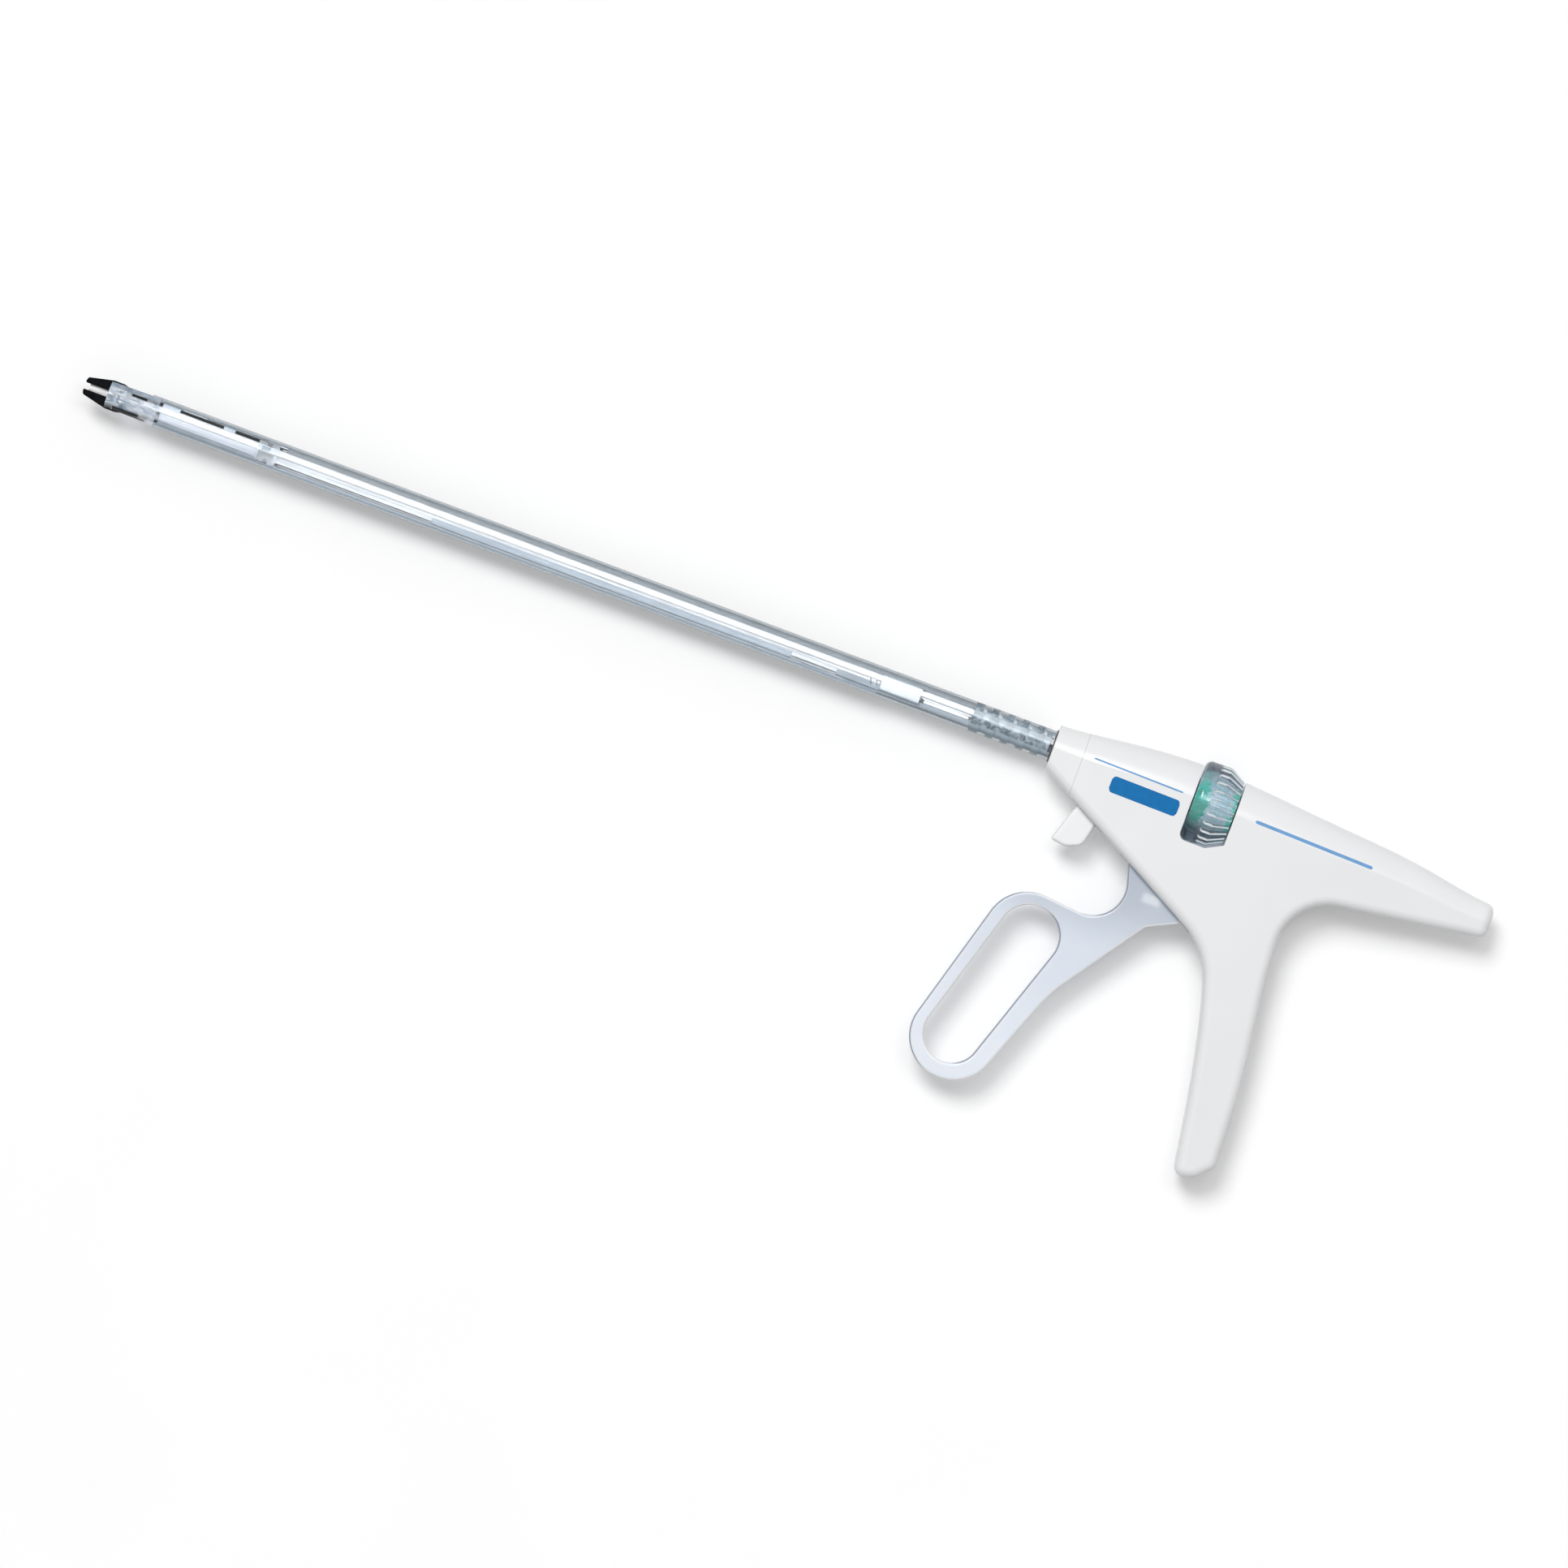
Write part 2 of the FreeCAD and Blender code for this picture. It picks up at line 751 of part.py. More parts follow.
def jaw_anchor():
    """Block under the tube's wall that holds the two jaw pins."""
    start = jaw_pivot_x - anchor_length / 2
    block = rod(tube_bore, start, start + anchor_length)
    block = block.common(
        box(start - 1, start + anchor_length + 1, -anchor_half, anchor_half, anchor_low, shaft_radius))
    holes = [post(jaw_pin_radius, jaw_pivot_x, side * jaw_eye_y, 0, anchor_low + anchor_pin_depth)
             for side in (1, -1)]
    return solid(block.cut(holes))


def jaw_pins():
    """Short pins on which the jaws swing."""
    low = magazine_base + magazine_floor
    high = anchor_low + anchor_pin_depth
    return Part.makeCompound([
        post(jaw_pin_radius, jaw_pivot_x, side * jaw_eye_y, low, high) for side in (1, -1)])


def loaded_clip():
    """Clip that waits open between the jaws."""
    width = jaw_gap + 2 * (clip_groove_depth - slide_play)
    clip = clip_shape(width, loaded_clip_length, loaded_clip_crown)
    clip.translate(Vector(loaded_crown_x, 0, 0))
    return clip


# Sliding strips

def closure_channel():
    """Channel that slides over the jaws, and the strip and key that draw it along."""
    rear = closure_mid + closure_key_half + channel_key_end
    trough = ring(channel_outer, channel_inner, channel_front, rear)
    trough = trough.cut([
        box(channel_front - 1, 100, -5, 5, channel_open_height, 10),
        box(channel_full_end, 100, -5, 5, -channel_strip_height, 10),
    ])
    key = box(closure_mid - closure_key_half, closure_mid + closure_key_half,
              -closure_key_width, closure_key_width, -closure_key_depth, -channel_inner - key_sink)
    return solid(trough.fuse(key))


def spool(middle, half, groove_radius, flange_radius):
    """Grooved ring that slides on the tube."""
    body = ring(flange_radius, journal_radius + 2 * running, middle - half - spool_flange_thick,
                middle + half + spool_flange_thick)
    groove = ring(flange_radius + 1, groove_radius, middle - half, middle + half)
    return body.cut(groove)


def closure_spool():
    """Spool that the lever's fork drives."""
    body = spool(closure_mid, closure_spool_half, closure_groove_radius, closure_flange_radius)
    key = box(closure_mid - closure_key_half, closure_mid + closure_key_half,
              -closure_key_width, closure_key_width, -closure_key_depth, 0)
    return solid(body.cut(key))


def pusher_bar():
    """Strip that pushes the front clip, with a turned-down tip and the key of its spool."""
    bar = box(pusher_front, pusher_mid + pusher_key_half, pusher_low_edge, pusher_high_edge,
              pusher_height, pusher_top)
    tip = box(pusher_front, pusher_front + pusher_tip_length, pusher_tip_low, pusher_tip_high,
              -clip_wire / 2, pusher_top)
    trim = box(pusher_front - 1, pusher_front + pusher_tip_length + 2 * pusher_stroke, pusher_tip_high,
               3, pusher_height - 1, pusher_top + 1)
    key = box(pusher_mid - pusher_key_half, pusher_mid + pusher_key_half, pusher_low_edge,
              pusher_high_edge, pusher_height, pusher_key_depth)
    return solid(bar.cut(trim).fuse([tip, key]))


def pusher_spool():
    """Spool that the trigger's finger drives."""
    body = spool(pusher_mid, pusher_spool_half, pusher_groove_radius, pusher_flange_radius)
    key = box(pusher_mid - pusher_key_half, pusher_mid + pusher_key_half, pusher_low_edge,
              pusher_high_edge, 0, pusher_key_depth)
    return solid(body.cut(key))


# Jaws

def jaw():
    """Upper jaw: a long arm from its eye, a cam shoulder and the jaw with its clip groove."""
    cam_top = channel_front - closure_stroke - cam_gap
    face = jaw_gap / 2
    wire = rounded_wire([
        (jaw_pivot_x, jaw_arm_inner, 0),
        (jaw_pivot_x, jaw_arm_outer, 0),
        (channel_front, jaw_arm_outer, 0),
        (cam_top, jaw_arm_outer + cam_rise, 0),
        (cam_top - cam_shoulder_run, jaw_shoulder, 1.0),
        (fork_end + 0.5, jaw_shoulder, 1.5),
        (jaw_tip + jaw_nose, jaw_tip_height, 0.9),
        (jaw_tip, face, 0.4),
        (fork_end + 0.2, face, 0.8),
        (fork_end + jaw_heel, jaw_arm_inner, 0.8),
    ])
    head = prism(wire, -jaw_head_half, jaw_head_half)
    head = head.common(rod(shaft_radius - 0.05, jaw_tip - 1, jaw_pivot_x + 1))
    narrow_from = channel_front - closure_stroke - jaw_narrowing
    cuts = []
    for side in (1, -1):
        low = jaw_arm_half if side > 0 else -10
        high = 10 if side > 0 else -jaw_arm_half
        cuts.append(box(narrow_from, jaw_pivot_x + 2, -5, 5, low, high))
    groove_half = clip_wire / 2 + slide_play
    cuts.append(box(jaw_tip + jaw_groove_stop, fork_end + jaw_heel, 0, face + clip_groove_depth,
                    -groove_half, groove_half))
    arm = head.cut(cuts)
    arm = arm.fuse(post(jaw_eye_radius, jaw_pivot_x, jaw_eye_y, -jaw_arm_half, jaw_arm_half))
    return solid(arm.cut(post(jaw_pin_radius + hinge_play, jaw_pivot_x, jaw_eye_y, -5, 5)))


def lower_jaw():
    """Upper jaw turned over."""
    shape = jaw()
    shape.rotate(Vector(), Vector(1, 0, 0), 180)
    return shape


# Lever and trigger

def lever_plate():
    """Flat frosted plate of the lever with its finger loop."""
    outline = rounded_wire([
        (34.0, -15.0, 0),
        (33.9, -20.0, 6.0),
        (42.5, -49.0, 11.0),
        (2.7, -45.3, 14.3),
        (-16.4, -113.5, 13.9),
        (12.4, -113.5, 14.0),
        (26.8, -75.5, 50.0),
        (48.3, -44.6, 1.5),
        (59.2, -39.2, 1.5),
        (42.5, -19.0, 0),
        (42.5, -15.0, 0),
    ])
    plate = prism(outline, -lever_half_thick, lever_half_thick)
    hole = prism(tapered_slot((1.7, -99.0), 9.3, (13.8, -60.3), 10.0), -10, 10)
    plate = plate.cut(hole)
    rims = []
    for edge in plate.Edges:
        flat = abs(edge.BoundBox.ZMax - edge.BoundBox.ZMin) < 1e-6
        if flat and edge.BoundBox.YMax < lever_pivot[1] - 1.0:
            rims.append(edge)
    return plate.makeFillet(lever_edge_round, rims)


def squeeze_lever():
    """Lever with its hub and the fork that straddles the closure spool."""
    tip = (closure_mid, lever_pivot[1] + fork_arm_reach * math.cos(half_swing))
    parts = [post(lever_hub_radius, *lever_pivot, -lever_hub_half, lever_hub_half)]
    arm_wire = tapered_slot(lever_pivot, lever_hub_radius, tip, fork_tip_round)
    peg_inner = closure_groove_radius + fork_peg_gap
    arm_inner = lever_hub_half - fork_arm_thick
    for side in (1, -1):
        outer = side * lever_hub_half
        inner = side * arm_inner
        parts.append(prism(arm_wire, min(inner, outer), max(inner, outer)))
        near = side * peg_inner
        parts.append(post(fork_peg_radius, *tip, min(near, outer), max(near, outer)))
    lever = lever_plate().fuse(parts)
    return solid(lever.cut(post(lever_pin_radius + hinge_play, *lever_pivot, -20, 20)))


def lever_pivot_pin():
    """Pin of the lever, held in both shells."""
    return post(lever_pin_radius, *lever_pivot, -lever_pin_half, lever_pin_half)


def trigger():
    """Finger trigger with the finger that reaches into the pusher spool's groove."""
    outline = rounded_wire([
        (14.9, -13.0, 0),
        (12.6, -18.5, 7.0),
        (9.5, -28.4, 0.8),
        (14.6, -29.2, 5.0),
        (19.9, -27.2, 4.0),
        (22.0, -18.0, 5.0),
        (21.1, -13.0, 0),
    ])
    blade = prism(outline, -trigger_half_thick, trigger_half_thick)
    rims = []
    for edge in blade.Edges:
        flat = abs(edge.BoundBox.ZMax - edge.BoundBox.ZMin) < 1e-6
        if flat and edge.BoundBox.YMax < trigger_pivot[1] - 1.0:
            rims.append(edge)
    blade = blade.makeFillet(trigger_edge_round, rims)
    hub = post(trigger_hub_radius, *trigger_pivot, -trigger_half_thick, trigger_half_thick)
    tip = (pusher_mid, trigger_pivot[1] + finger_reach * math.cos(half_pull))
    finger = prism(tapered_slot(trigger_pivot, finger_root_radius, tip, finger_tip_radius),
                   -finger_half, finger_half)
    body = blade.fuse([hub, finger])
    return solid(body.cut(post(trigger_pin_radius + hinge_play, *trigger_pivot, -20, 20)))


def trigger_pivot_pin():
    """Pin of the trigger, held in both shells."""
    return post(trigger_pin_radius, *trigger_pivot, -trigger_pin_half, trigger_pin_half)


def main():
    outer = rounded_housing()
    shells = shell_body(outer)
    nodes = {
        "nose_cap": nose_cap(outer),
        "left_shell": left_shell(shells),
        "right_shell": right_shell(shells),
        "shell_pegs": shell_pegs(),
        "front_bush": front_bush(),
        "rear_bush": rear_bush(),
        "lever_pivot_pin": lever_pivot_pin(),
        "trigger_pivot_pin": trigger_pivot_pin(),
        "closure_return_spring": closure_return_spring(),
        "pusher_return_spring": pusher_return_spring(),
        "outer_tube": outer_tube(),
        "nose_fork": nose_fork(),
        "rotation_knob": rotation_knob(),
        "knob_core": knob_core(),
        "thrust_ring": thrust_ring(),
        "seal_plug": seal_plug(),
        "clip_magazine": clip_magazine(),
        "magazine_cover": magazine_cover(),
        "spring_stop_pin": spring_stop_pin(),
        "clip_stack": clip_stack(),
        "clip_follower": clip_follower(),
        "follower_spring": follower_spring(),
        "jaw_anchor": jaw_anchor(),
        "jaw_pins": jaw_pins(),
        "loaded_clip": loaded_clip(),
        "closure_channel": closure_channel(),
        "closure_spool": closure_spool(),
        "pusher_bar": pusher_bar(),
        "pusher_spool": pusher_spool(),
        "upper_jaw": jaw(),
        "lower_jaw": lower_jaw(),
        "squeeze_lever": squeeze_lever(),
        "trigger": trigger(),
    }
    os.makedirs("parts", exist_ok=True)
    for name, shape in nodes.items():
        shape.exportStep(f"parts/{name}.step")
        bounds = shape.BoundBox
        print(f"{name}: {len(shape.Solids)} solid, valid {shape.isValid()}, {shape.Volume:.1f} mm3,"
              f" x {bounds.XMin:.2f}..{bounds.XMax:.2f}, y {bounds.YMin:.2f}..{bounds.YMax:.2f},"
              f" z {bounds.ZMin:.2f}..{bounds.ZMax:.2f}")
    print(f"closure stroke {closure_stroke:.3f}, pusher stroke {pusher_stroke:.3f}")
    print(f"jaw swing {jaw_swing:.3f}")


main()
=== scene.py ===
"""Looks of the endoscopic clip applier: materials, fine details, floor, light and camera."""
import math

import bmesh
import bpy
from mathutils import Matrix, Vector
from mathutils.bvhtree import BVHTree


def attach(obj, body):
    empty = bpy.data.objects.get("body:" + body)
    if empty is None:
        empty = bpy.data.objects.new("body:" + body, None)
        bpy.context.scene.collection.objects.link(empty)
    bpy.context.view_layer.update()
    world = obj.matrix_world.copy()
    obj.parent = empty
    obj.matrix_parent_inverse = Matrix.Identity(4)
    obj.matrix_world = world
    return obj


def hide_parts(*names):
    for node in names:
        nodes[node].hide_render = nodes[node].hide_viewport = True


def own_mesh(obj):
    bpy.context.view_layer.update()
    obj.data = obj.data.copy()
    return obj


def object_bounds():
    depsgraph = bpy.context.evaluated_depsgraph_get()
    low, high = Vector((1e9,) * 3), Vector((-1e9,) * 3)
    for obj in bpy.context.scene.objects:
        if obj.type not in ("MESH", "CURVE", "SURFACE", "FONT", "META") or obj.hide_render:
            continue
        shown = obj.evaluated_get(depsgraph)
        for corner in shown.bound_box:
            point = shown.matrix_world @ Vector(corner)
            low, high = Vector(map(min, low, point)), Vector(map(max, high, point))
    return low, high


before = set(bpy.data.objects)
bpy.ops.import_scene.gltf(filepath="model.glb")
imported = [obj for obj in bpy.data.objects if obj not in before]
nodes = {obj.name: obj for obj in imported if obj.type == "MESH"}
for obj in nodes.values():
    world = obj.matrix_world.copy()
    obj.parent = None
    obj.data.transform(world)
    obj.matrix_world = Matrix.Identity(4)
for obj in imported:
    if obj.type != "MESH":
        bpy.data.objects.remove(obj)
cad_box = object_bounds()
MM = 0.001
SEAM_X = 10.0  # where the nose cap meets the shells, in millimetres
ACRYLIC_IOR = 1.49
THIN_STRIP_IOR = 1.3
SEEN_RAYS = ("Is Camera Ray", "Is Glossy Ray", "Is Transmission Ray")


# Material building blocks

class Look:
    """A procedural material, with coordinates in metres on the object itself."""

    def __init__(self, name):
        self.material = bpy.data.materials.new(name)
        self.material.use_nodes = True
        self.tree = self.material.node_tree
        self.shader = self.tree.nodes["Principled BSDF"]
        self.output = self.tree.nodes["Material Output"]
        self.coordinates = self.tree.nodes.new("ShaderNodeTexCoord")
        self.place = self.coordinates.outputs["Object"]

    def link(self, source, target):
        self.tree.links.new(source, target)

    def set(self, **sockets):
        for name, value in sockets.items():
            self.shader.inputs[name.replace("_", " ")].default_value = value
        return self

    def stretched(self, factors):
        """Coordinates scaled per axis, for grain that runs one way."""
        node = self.tree.nodes.new("ShaderNodeMapping")
        node.inputs["Scale"].default_value = factors
        self.link(self.place, node.inputs["Vector"])
        return node.outputs[0]

    def spread(self, value):
        """The middle range of a noise, stretched to 0..1."""
        return self.span(value, 0.3, 0.7)

    def streaks(self, value):
        """The same for lines, with their dark side a little wider."""
        return self.span(value, 0.35, 0.7)

    def moulded_grain(self):
        """The finest grain of a moulded surface."""
        return self.noise(5200.0, 2.0)

    def drawn_lines(self):
        """Fine scratches along the shaft, as drawing leaves them."""
        return self.noise(5000.0, 4.0, (0.02, 1.0, 1.0))

    def noise(self, scale, detail=3.0, factors=None, distortion=0.0):
        """Scale in cells per metre; factors below 1 draw the grain out along that axis."""
        node = self.tree.nodes.new("ShaderNodeTexNoise")
        node.inputs["Scale"].default_value = scale
        node.inputs["Detail"].default_value = detail
        node.inputs["Distortion"].default_value = distortion
        self.link(self.stretched(factors) if factors else self.place, node.inputs["Vector"])
        return node.outputs["Fac"]

    def cells(self, scale):
        node = self.tree.nodes.new("ShaderNodeTexVoronoi")
        node.inputs["Scale"].default_value = scale
        self.link(self.place, node.inputs["Vector"])
        return node.outputs["Distance"]

    def span(self, value, low, high, to_low=0.0, to_high=1.0):
        """Maps value from low..high to to_low..to_high, smoothly and clamped."""
        node = self.tree.nodes.new("ShaderNodeMapRange")
        node.interpolation_type = "SMOOTHSTEP"
        node.inputs["From Min"].default_value = low
        node.inputs["From Max"].default_value = high
        node.inputs["To Min"].default_value = to_low
        node.inputs["To Max"].default_value = to_high
        self.link(value, node.inputs["Value"])
        return node.outputs["Result"]

    def math(self, operation, a, b=None):
        node = self.tree.nodes.new("ShaderNodeMath")
        node.operation = operation
        for socket, value in zip(node.inputs, (a, b)):
            if value is None:
                continue
            if isinstance(value, (int, float)):
                socket.default_value = value
            else:
                self.link(value, socket)
        return node.outputs[0]

    def times(self, a, b):
        return self.math("MULTIPLY", a, b)

    def larger(self, a, b):
        return self.math("MAXIMUM", a, b)

    def axis(self, letter):
        node = self.tree.nodes.new("ShaderNodeSeparateXYZ")
        self.link(self.place, node.inputs[0])
        return node.outputs[letter]

    def band(self, letter, low, high, soft):
        """1 between low and high along an axis, in millimetres, with soft edges."""
        value = self.axis(letter)
        rise = self.span(value, (low - soft) * MM, (low + soft) * MM)
        fall = self.span(value, (high - soft) * MM, (high + soft) * MM, 1.0, 0.0)
        return self.times(rise, fall)

    def mix(self, factor, a, b):
        node = self.tree.nodes.new("ShaderNodeMix")
        node.data_type = "RGBA"
        for socket, value in ((node.inputs[0], factor), (node.inputs[6], a), (node.inputs[7], b)):
            if isinstance(value, (tuple, list)):
                socket.default_value = (*value[:3], 1.0)
            elif isinstance(value, float):
                socket.default_value = value
            else:
                self.link(value, socket)
        return node.outputs[2]

    def over(self, mask, weight, under, paint):
        """Paint laid over a colour at a weight, where the mask is."""
        return self.mix(self.times(mask, weight), under, paint)

    def colour(self, value):
        self.link(value, self.shader.inputs["Base Color"])

    def roughness(self, value, low, high):
        """From low to high over nearly the whole range of a noise."""
        noise_low, noise_high = 0.25, 0.75
        self.link(self.span(value, noise_low, noise_high, low, high), self.shader.inputs["Roughness"])

    def bump(self, *layers):
        """Layers of (height, depth in millimetres, strength), one over the other."""
        normal = None
        for height, depth, strength in layers:
            node = self.tree.nodes.new("ShaderNodeBump")
            node.inputs["Distance"].default_value = depth * MM
            node.inputs["Strength"].default_value = strength
            self.link(height, node.inputs["Height"])
            if normal is not None:
                self.link(normal, node.inputs["Normal"])
            normal = node.outputs[0]
        self.link(normal, self.shader.inputs["Normal"])

    def facing(self, letter):
        """How far the surface's normal points along an axis, -1..1."""
        parts = self.tree.nodes.new("ShaderNodeSeparateXYZ")
        self.link(self.coordinates.outputs["Normal"], parts.inputs[0])
        return parts.outputs[letter]

    def rim(self, low, high):
        """1 where the surface leans between flat and upright, as on a rounded rim."""
        soft_low, soft_high = 0.1, 0.05
        lean = self.math("ABSOLUTE", self.facing("Z"))
        rise = self.span(lean, low - soft_low, low + soft_low)
        return self.times(rise, self.span(lean, high - soft_high, high + soft_high, 1.0, 0.0))

    def grazing(self, low, high):
        """1 where the surface is seen edge on, as the sides of a glass rod are."""
        weight = self.tree.nodes.new("ShaderNodeLayerWeight")
        return self.span(weight.outputs["Facing"], low, high)

    def radius(self):
        """Distance from the shaft's axis."""
        node = self.tree.nodes.new("ShaderNodeVectorMath")
        node.operation = "LENGTH"
        self.link(self.stretched((0.0, 1.0, 1.0)), node.inputs[0])
        return node.outputs["Value"]

    def clear_but(self, milky):
        """Clear plastic, except where it is milky."""
        self.link(self.math("SUBTRACT", 1.0, milky), self.shader.inputs["Transmission Weight"])

    def absorbs(self, colour, density):
        """Plastic that darkens with its depth; density per metre."""
        node = self.tree.nodes.new("ShaderNodeVolumeAbsorption")
        node.inputs["Color"].default_value = (*colour, 1.0)
        node.inputs["Density"].default_value = density
        self.link(node.outputs[0], self.output.inputs["Volume"])

    def lets_lamps_through(self, tint):
        """Lamps shine through with this tint, as they do through thin clear plastic."""
        path = self.tree.nodes.new("ShaderNodeLightPath")
        clear = self.tree.nodes.new("ShaderNodeBsdfTransparent")
        clear.inputs["Color"].default_value = (*tint, 1.0)
        both = self.tree.nodes.new("ShaderNodeMixShader")
        self.link(path.outputs["Is Shadow Ray"], both.inputs[0])
        self.link(self.shader.outputs[0], both.inputs[1])
        self.link(clear.outputs[0], both.inputs[2])
        self.link(both.outputs[0], self.output.inputs["Surface"])
        return self


# Materials

def darker(tint, factor):
    """A tint made darker by a factor."""
    return tuple(factor * c for c in tint)


def moulded_white(name, tint, seam_x=None):
    """Glossy moulded housing plastic: faint flow clouds, fine grain, sink marks and parting lines, darkened
    partly by dirt and partly by painted shade.
    """
    seam_half, seam_soft, parting_half, parting_soft = 0.09, 0.07, 0.07, 0.06
    line_weight, line_grey = 0.7, (0.42, 0.43, 0.45)
    look = Look(name)
    clouds = look.noise(22.0, 2.0, distortion=0.4)
    grain = look.moulded_grain()
    sinks = look.noise(60.0, 1.0)
    colour = look.mix(look.spread(clouds), darker(tint, 0.975), tint)
    colour = look.mix(look.span(grain, 0.3, 0.75, 0.0, 0.06), colour, darker(tint, 0.93))
    # Darker seam and parting lines: partly dirt in the joints, partly painted shade in them
    if seam_x is not None:
        seam = look.band("X", seam_x - seam_half, seam_x + seam_half, seam_soft)
        parting = look.band("Z", -parting_half, parting_half, parting_soft)
        colour = look.over(look.larger(seam, parting), line_weight, colour, line_grey)
    look.colour(colour)
    look.roughness(look.noise(90.0, 1.0), 0.3, 0.36)
    look.bump((sinks, 0.03, 0.1), (grain, 0.004, 0.12))
    return look.set(Specular_IOR_Level=0.5).material


def clear_tube(name):
    """Clear drawn tube with faint streaks, blue grey where it is seen edge on: partly the depth of plastic
    there, partly painted shade for the darker surroundings seen through its edges.
    """
    hazy, clear, edge = (0.93, 0.94, 0.95), (0.97, 0.98, 0.99), (0.38, 0.425, 0.46)
    edge_start, edge_full = 0.13, 0.42
    look = Look(name)
    flow = look.noise(900.0, 3.0, (0.012, 1.0, 1.0))
    haze = look.noise(160.0, 2.0)
    colour = look.mix(look.spread(haze), hazy, clear)
    # Blue grey edges: partly depth of plastic, partly painted shade of the surroundings
    look.colour(look.mix(look.grazing(edge_start, edge_full), colour, edge))
    look.roughness(haze, 0.05, 0.1)
    look.bump((flow, 0.008, 0.3))
    look.set(Transmission_Weight=1.0, IOR=ACRYLIC_IOR, Specular_Tint=(0.45, 0.45, 0.45, 1.0))
    look.absorbs((0.0, 0.12, 0.19), 130.0)
    return look.lets_lamps_through((0.94, 0.95, 0.96)).material


def fluted_clear(name):
    """Smoky clear plastic of the knob, milky and pale along the walls of its flutes, partly as frosted
    plastic and partly as a painted highlight on the ribs.
    """
    knob_radius, cone_start, cone_slope = 13.5 * MM, 57.0 * MM, 0.566
    wall_start, wall_full = 0.04 * MM, 0.12 * MM
    floor_start, floor_full = 0.5 * MM, 0.7 * MM
    flute_start, flute_full = 52.5 * MM, 53.1 * MM
    smoke, pale_smoke = (0.60, 0.65, 0.73), (0.72, 0.76, 0.82)
    wall_tint_and_highlight, wall_milk_and_highlight = (0.80, 0.86, 0.88), 0.75
    look = Look(name)
    haze = look.noise(160.0, 2.0)
    clouds = look.noise(420.0, 3.0, distortion=1.0)
    across = look.axis("X")
    fall = look.times(look.larger(look.math("SUBTRACT", across, cone_start), 0.0), cone_slope)
    depth = look.math("SUBTRACT", look.math("SUBTRACT", knob_radius, fall), look.radius())
    # Painted highlight, partly frosting: the walls of the flutes turn pale and milky
    wall = look.times(look.span(depth, wall_start, wall_full),
                      look.span(depth, floor_start, floor_full, 1.0, 0.0))
    wall = look.times(wall, look.span(across, flute_start, flute_full))
    look.colour(look.mix(wall, look.mix(look.spread(haze), smoke, pale_smoke), wall_tint_and_highlight))
    cloudy = look.span(clouds, 0.35, 0.65, 0.0, 0.1)
    look.clear_but(look.larger(cloudy, look.times(wall, wall_milk_and_highlight)))
    look.roughness(haze, 0.08, 0.16)
    look.bump((clouds, 0.02, 0.3))
    look.set(IOR=ACRYLIC_IOR)
    look.absorbs((0.0, 0.17, 0.31), 55.0)
    return look.lets_lamps_through((0.85, 0.87, 0.9)).material


def frosted_nose(name):
    """Clear nose of the shaft, milky in patches, with painted shade along its upper side and the black edges
    of the jaws' arms along it.
    """
    deep, milk = (0.25, 0.32, 0.39), (0.70, 0.76, 0.82)
    rear_deep, rear_milk = (0.56, 0.64, 0.74), (0.86, 0.89, 0.93)
    vein, clear = (0.94, 0.96, 0.98), (0.90, 0.92, 0.95)
    rear_start, rear_full = -321.5 * MM, -318.5 * MM
    shade_grey_upper, arm_black = (0.27, 0.33, 0.40), (0.006, 0.009, 0.012)
    front_milk, least_milk, shade_milk_upper = 0.7, 0.34, 0.5
    wedge_slope, wedge_start, wedge_full = 0.236, 70.6 * MM, 70.75 * MM
    edge_soft, end_soft = 0.12, 0.4
    arm_lines = [  # Y from and to, X from and to, weight
        (1.95, 2.85, -319.6, -314.0, 1.0),
        (2.1, 2.7, -314.4, -309.6, 0.6),
        # the last line is a darker line along the edge of the slot
        (0.6, 1.0, -325.0, -316.0, 0.45),
    ]
    look = Look(name)
    patches = look.noise(420.0, 4.0, (0.6, 1.0, 1.0), distortion=1.4)
    veins = look.noise(900.0, 3.0, (0.25, 1.0, 1.0), distortion=0.8)
    colour = look.mix(look.span(patches, 0.38, 0.6), deep, milk)
    colour = look.mix(look.span(veins, 0.55, 0.68), colour, vein)
    rear = look.mix(look.span(patches, 0.42, 0.58), rear_deep, rear_milk)
    colour = look.mix(look.span(look.axis("X"), rear_start, rear_full), colour, rear)
    inside = look.band("Y", -3.3, 4.7, 0.25)
    colour = look.mix(inside, clear, colour)
    milky = look.times(look.band("X", -329.0, -321.0, 1.5), front_milk)
    milky = look.times(look.larger(milky, least_milk), inside)
    # Painted shade: greyer and less clear along the upper side
    upper_shade = look.times(look.band("Y", 2.85, 4.8, 0.2), shade_milk_upper)
    colour = look.mix(upper_shade, colour, shade_grey_upper)
    slant = look.math("SUBTRACT", look.axis("Y"), look.times(look.axis("X"), wedge_slope))
    wedge = look.times(look.band("Y", -6.0, -3.05, edge_soft), look.band("X", -324.4, -315.2, 0.3))
    dark = look.times(wedge, look.span(slant, wedge_start, wedge_full))
    for low, high, front, back, weight in arm_lines:
        line = look.times(look.band("Y", low, high, edge_soft), look.band("X", front, back, end_soft))
        dark = look.larger(dark, look.times(line, weight))
    look.colour(look.mix(dark, colour, arm_black))
    look.clear_but(look.larger(look.larger(milky, upper_shade), dark))
    look.roughness(patches, 0.12, 0.3)
    look.bump((patches, 0.08, 0.5), (veins, 0.02, 0.5))
    look.set(IOR=ACRYLIC_IOR, Specular_Tint=(0.4, 0.4, 0.4, 1.0))
    return look.lets_lamps_through((0.85, 0.87, 0.9)).material


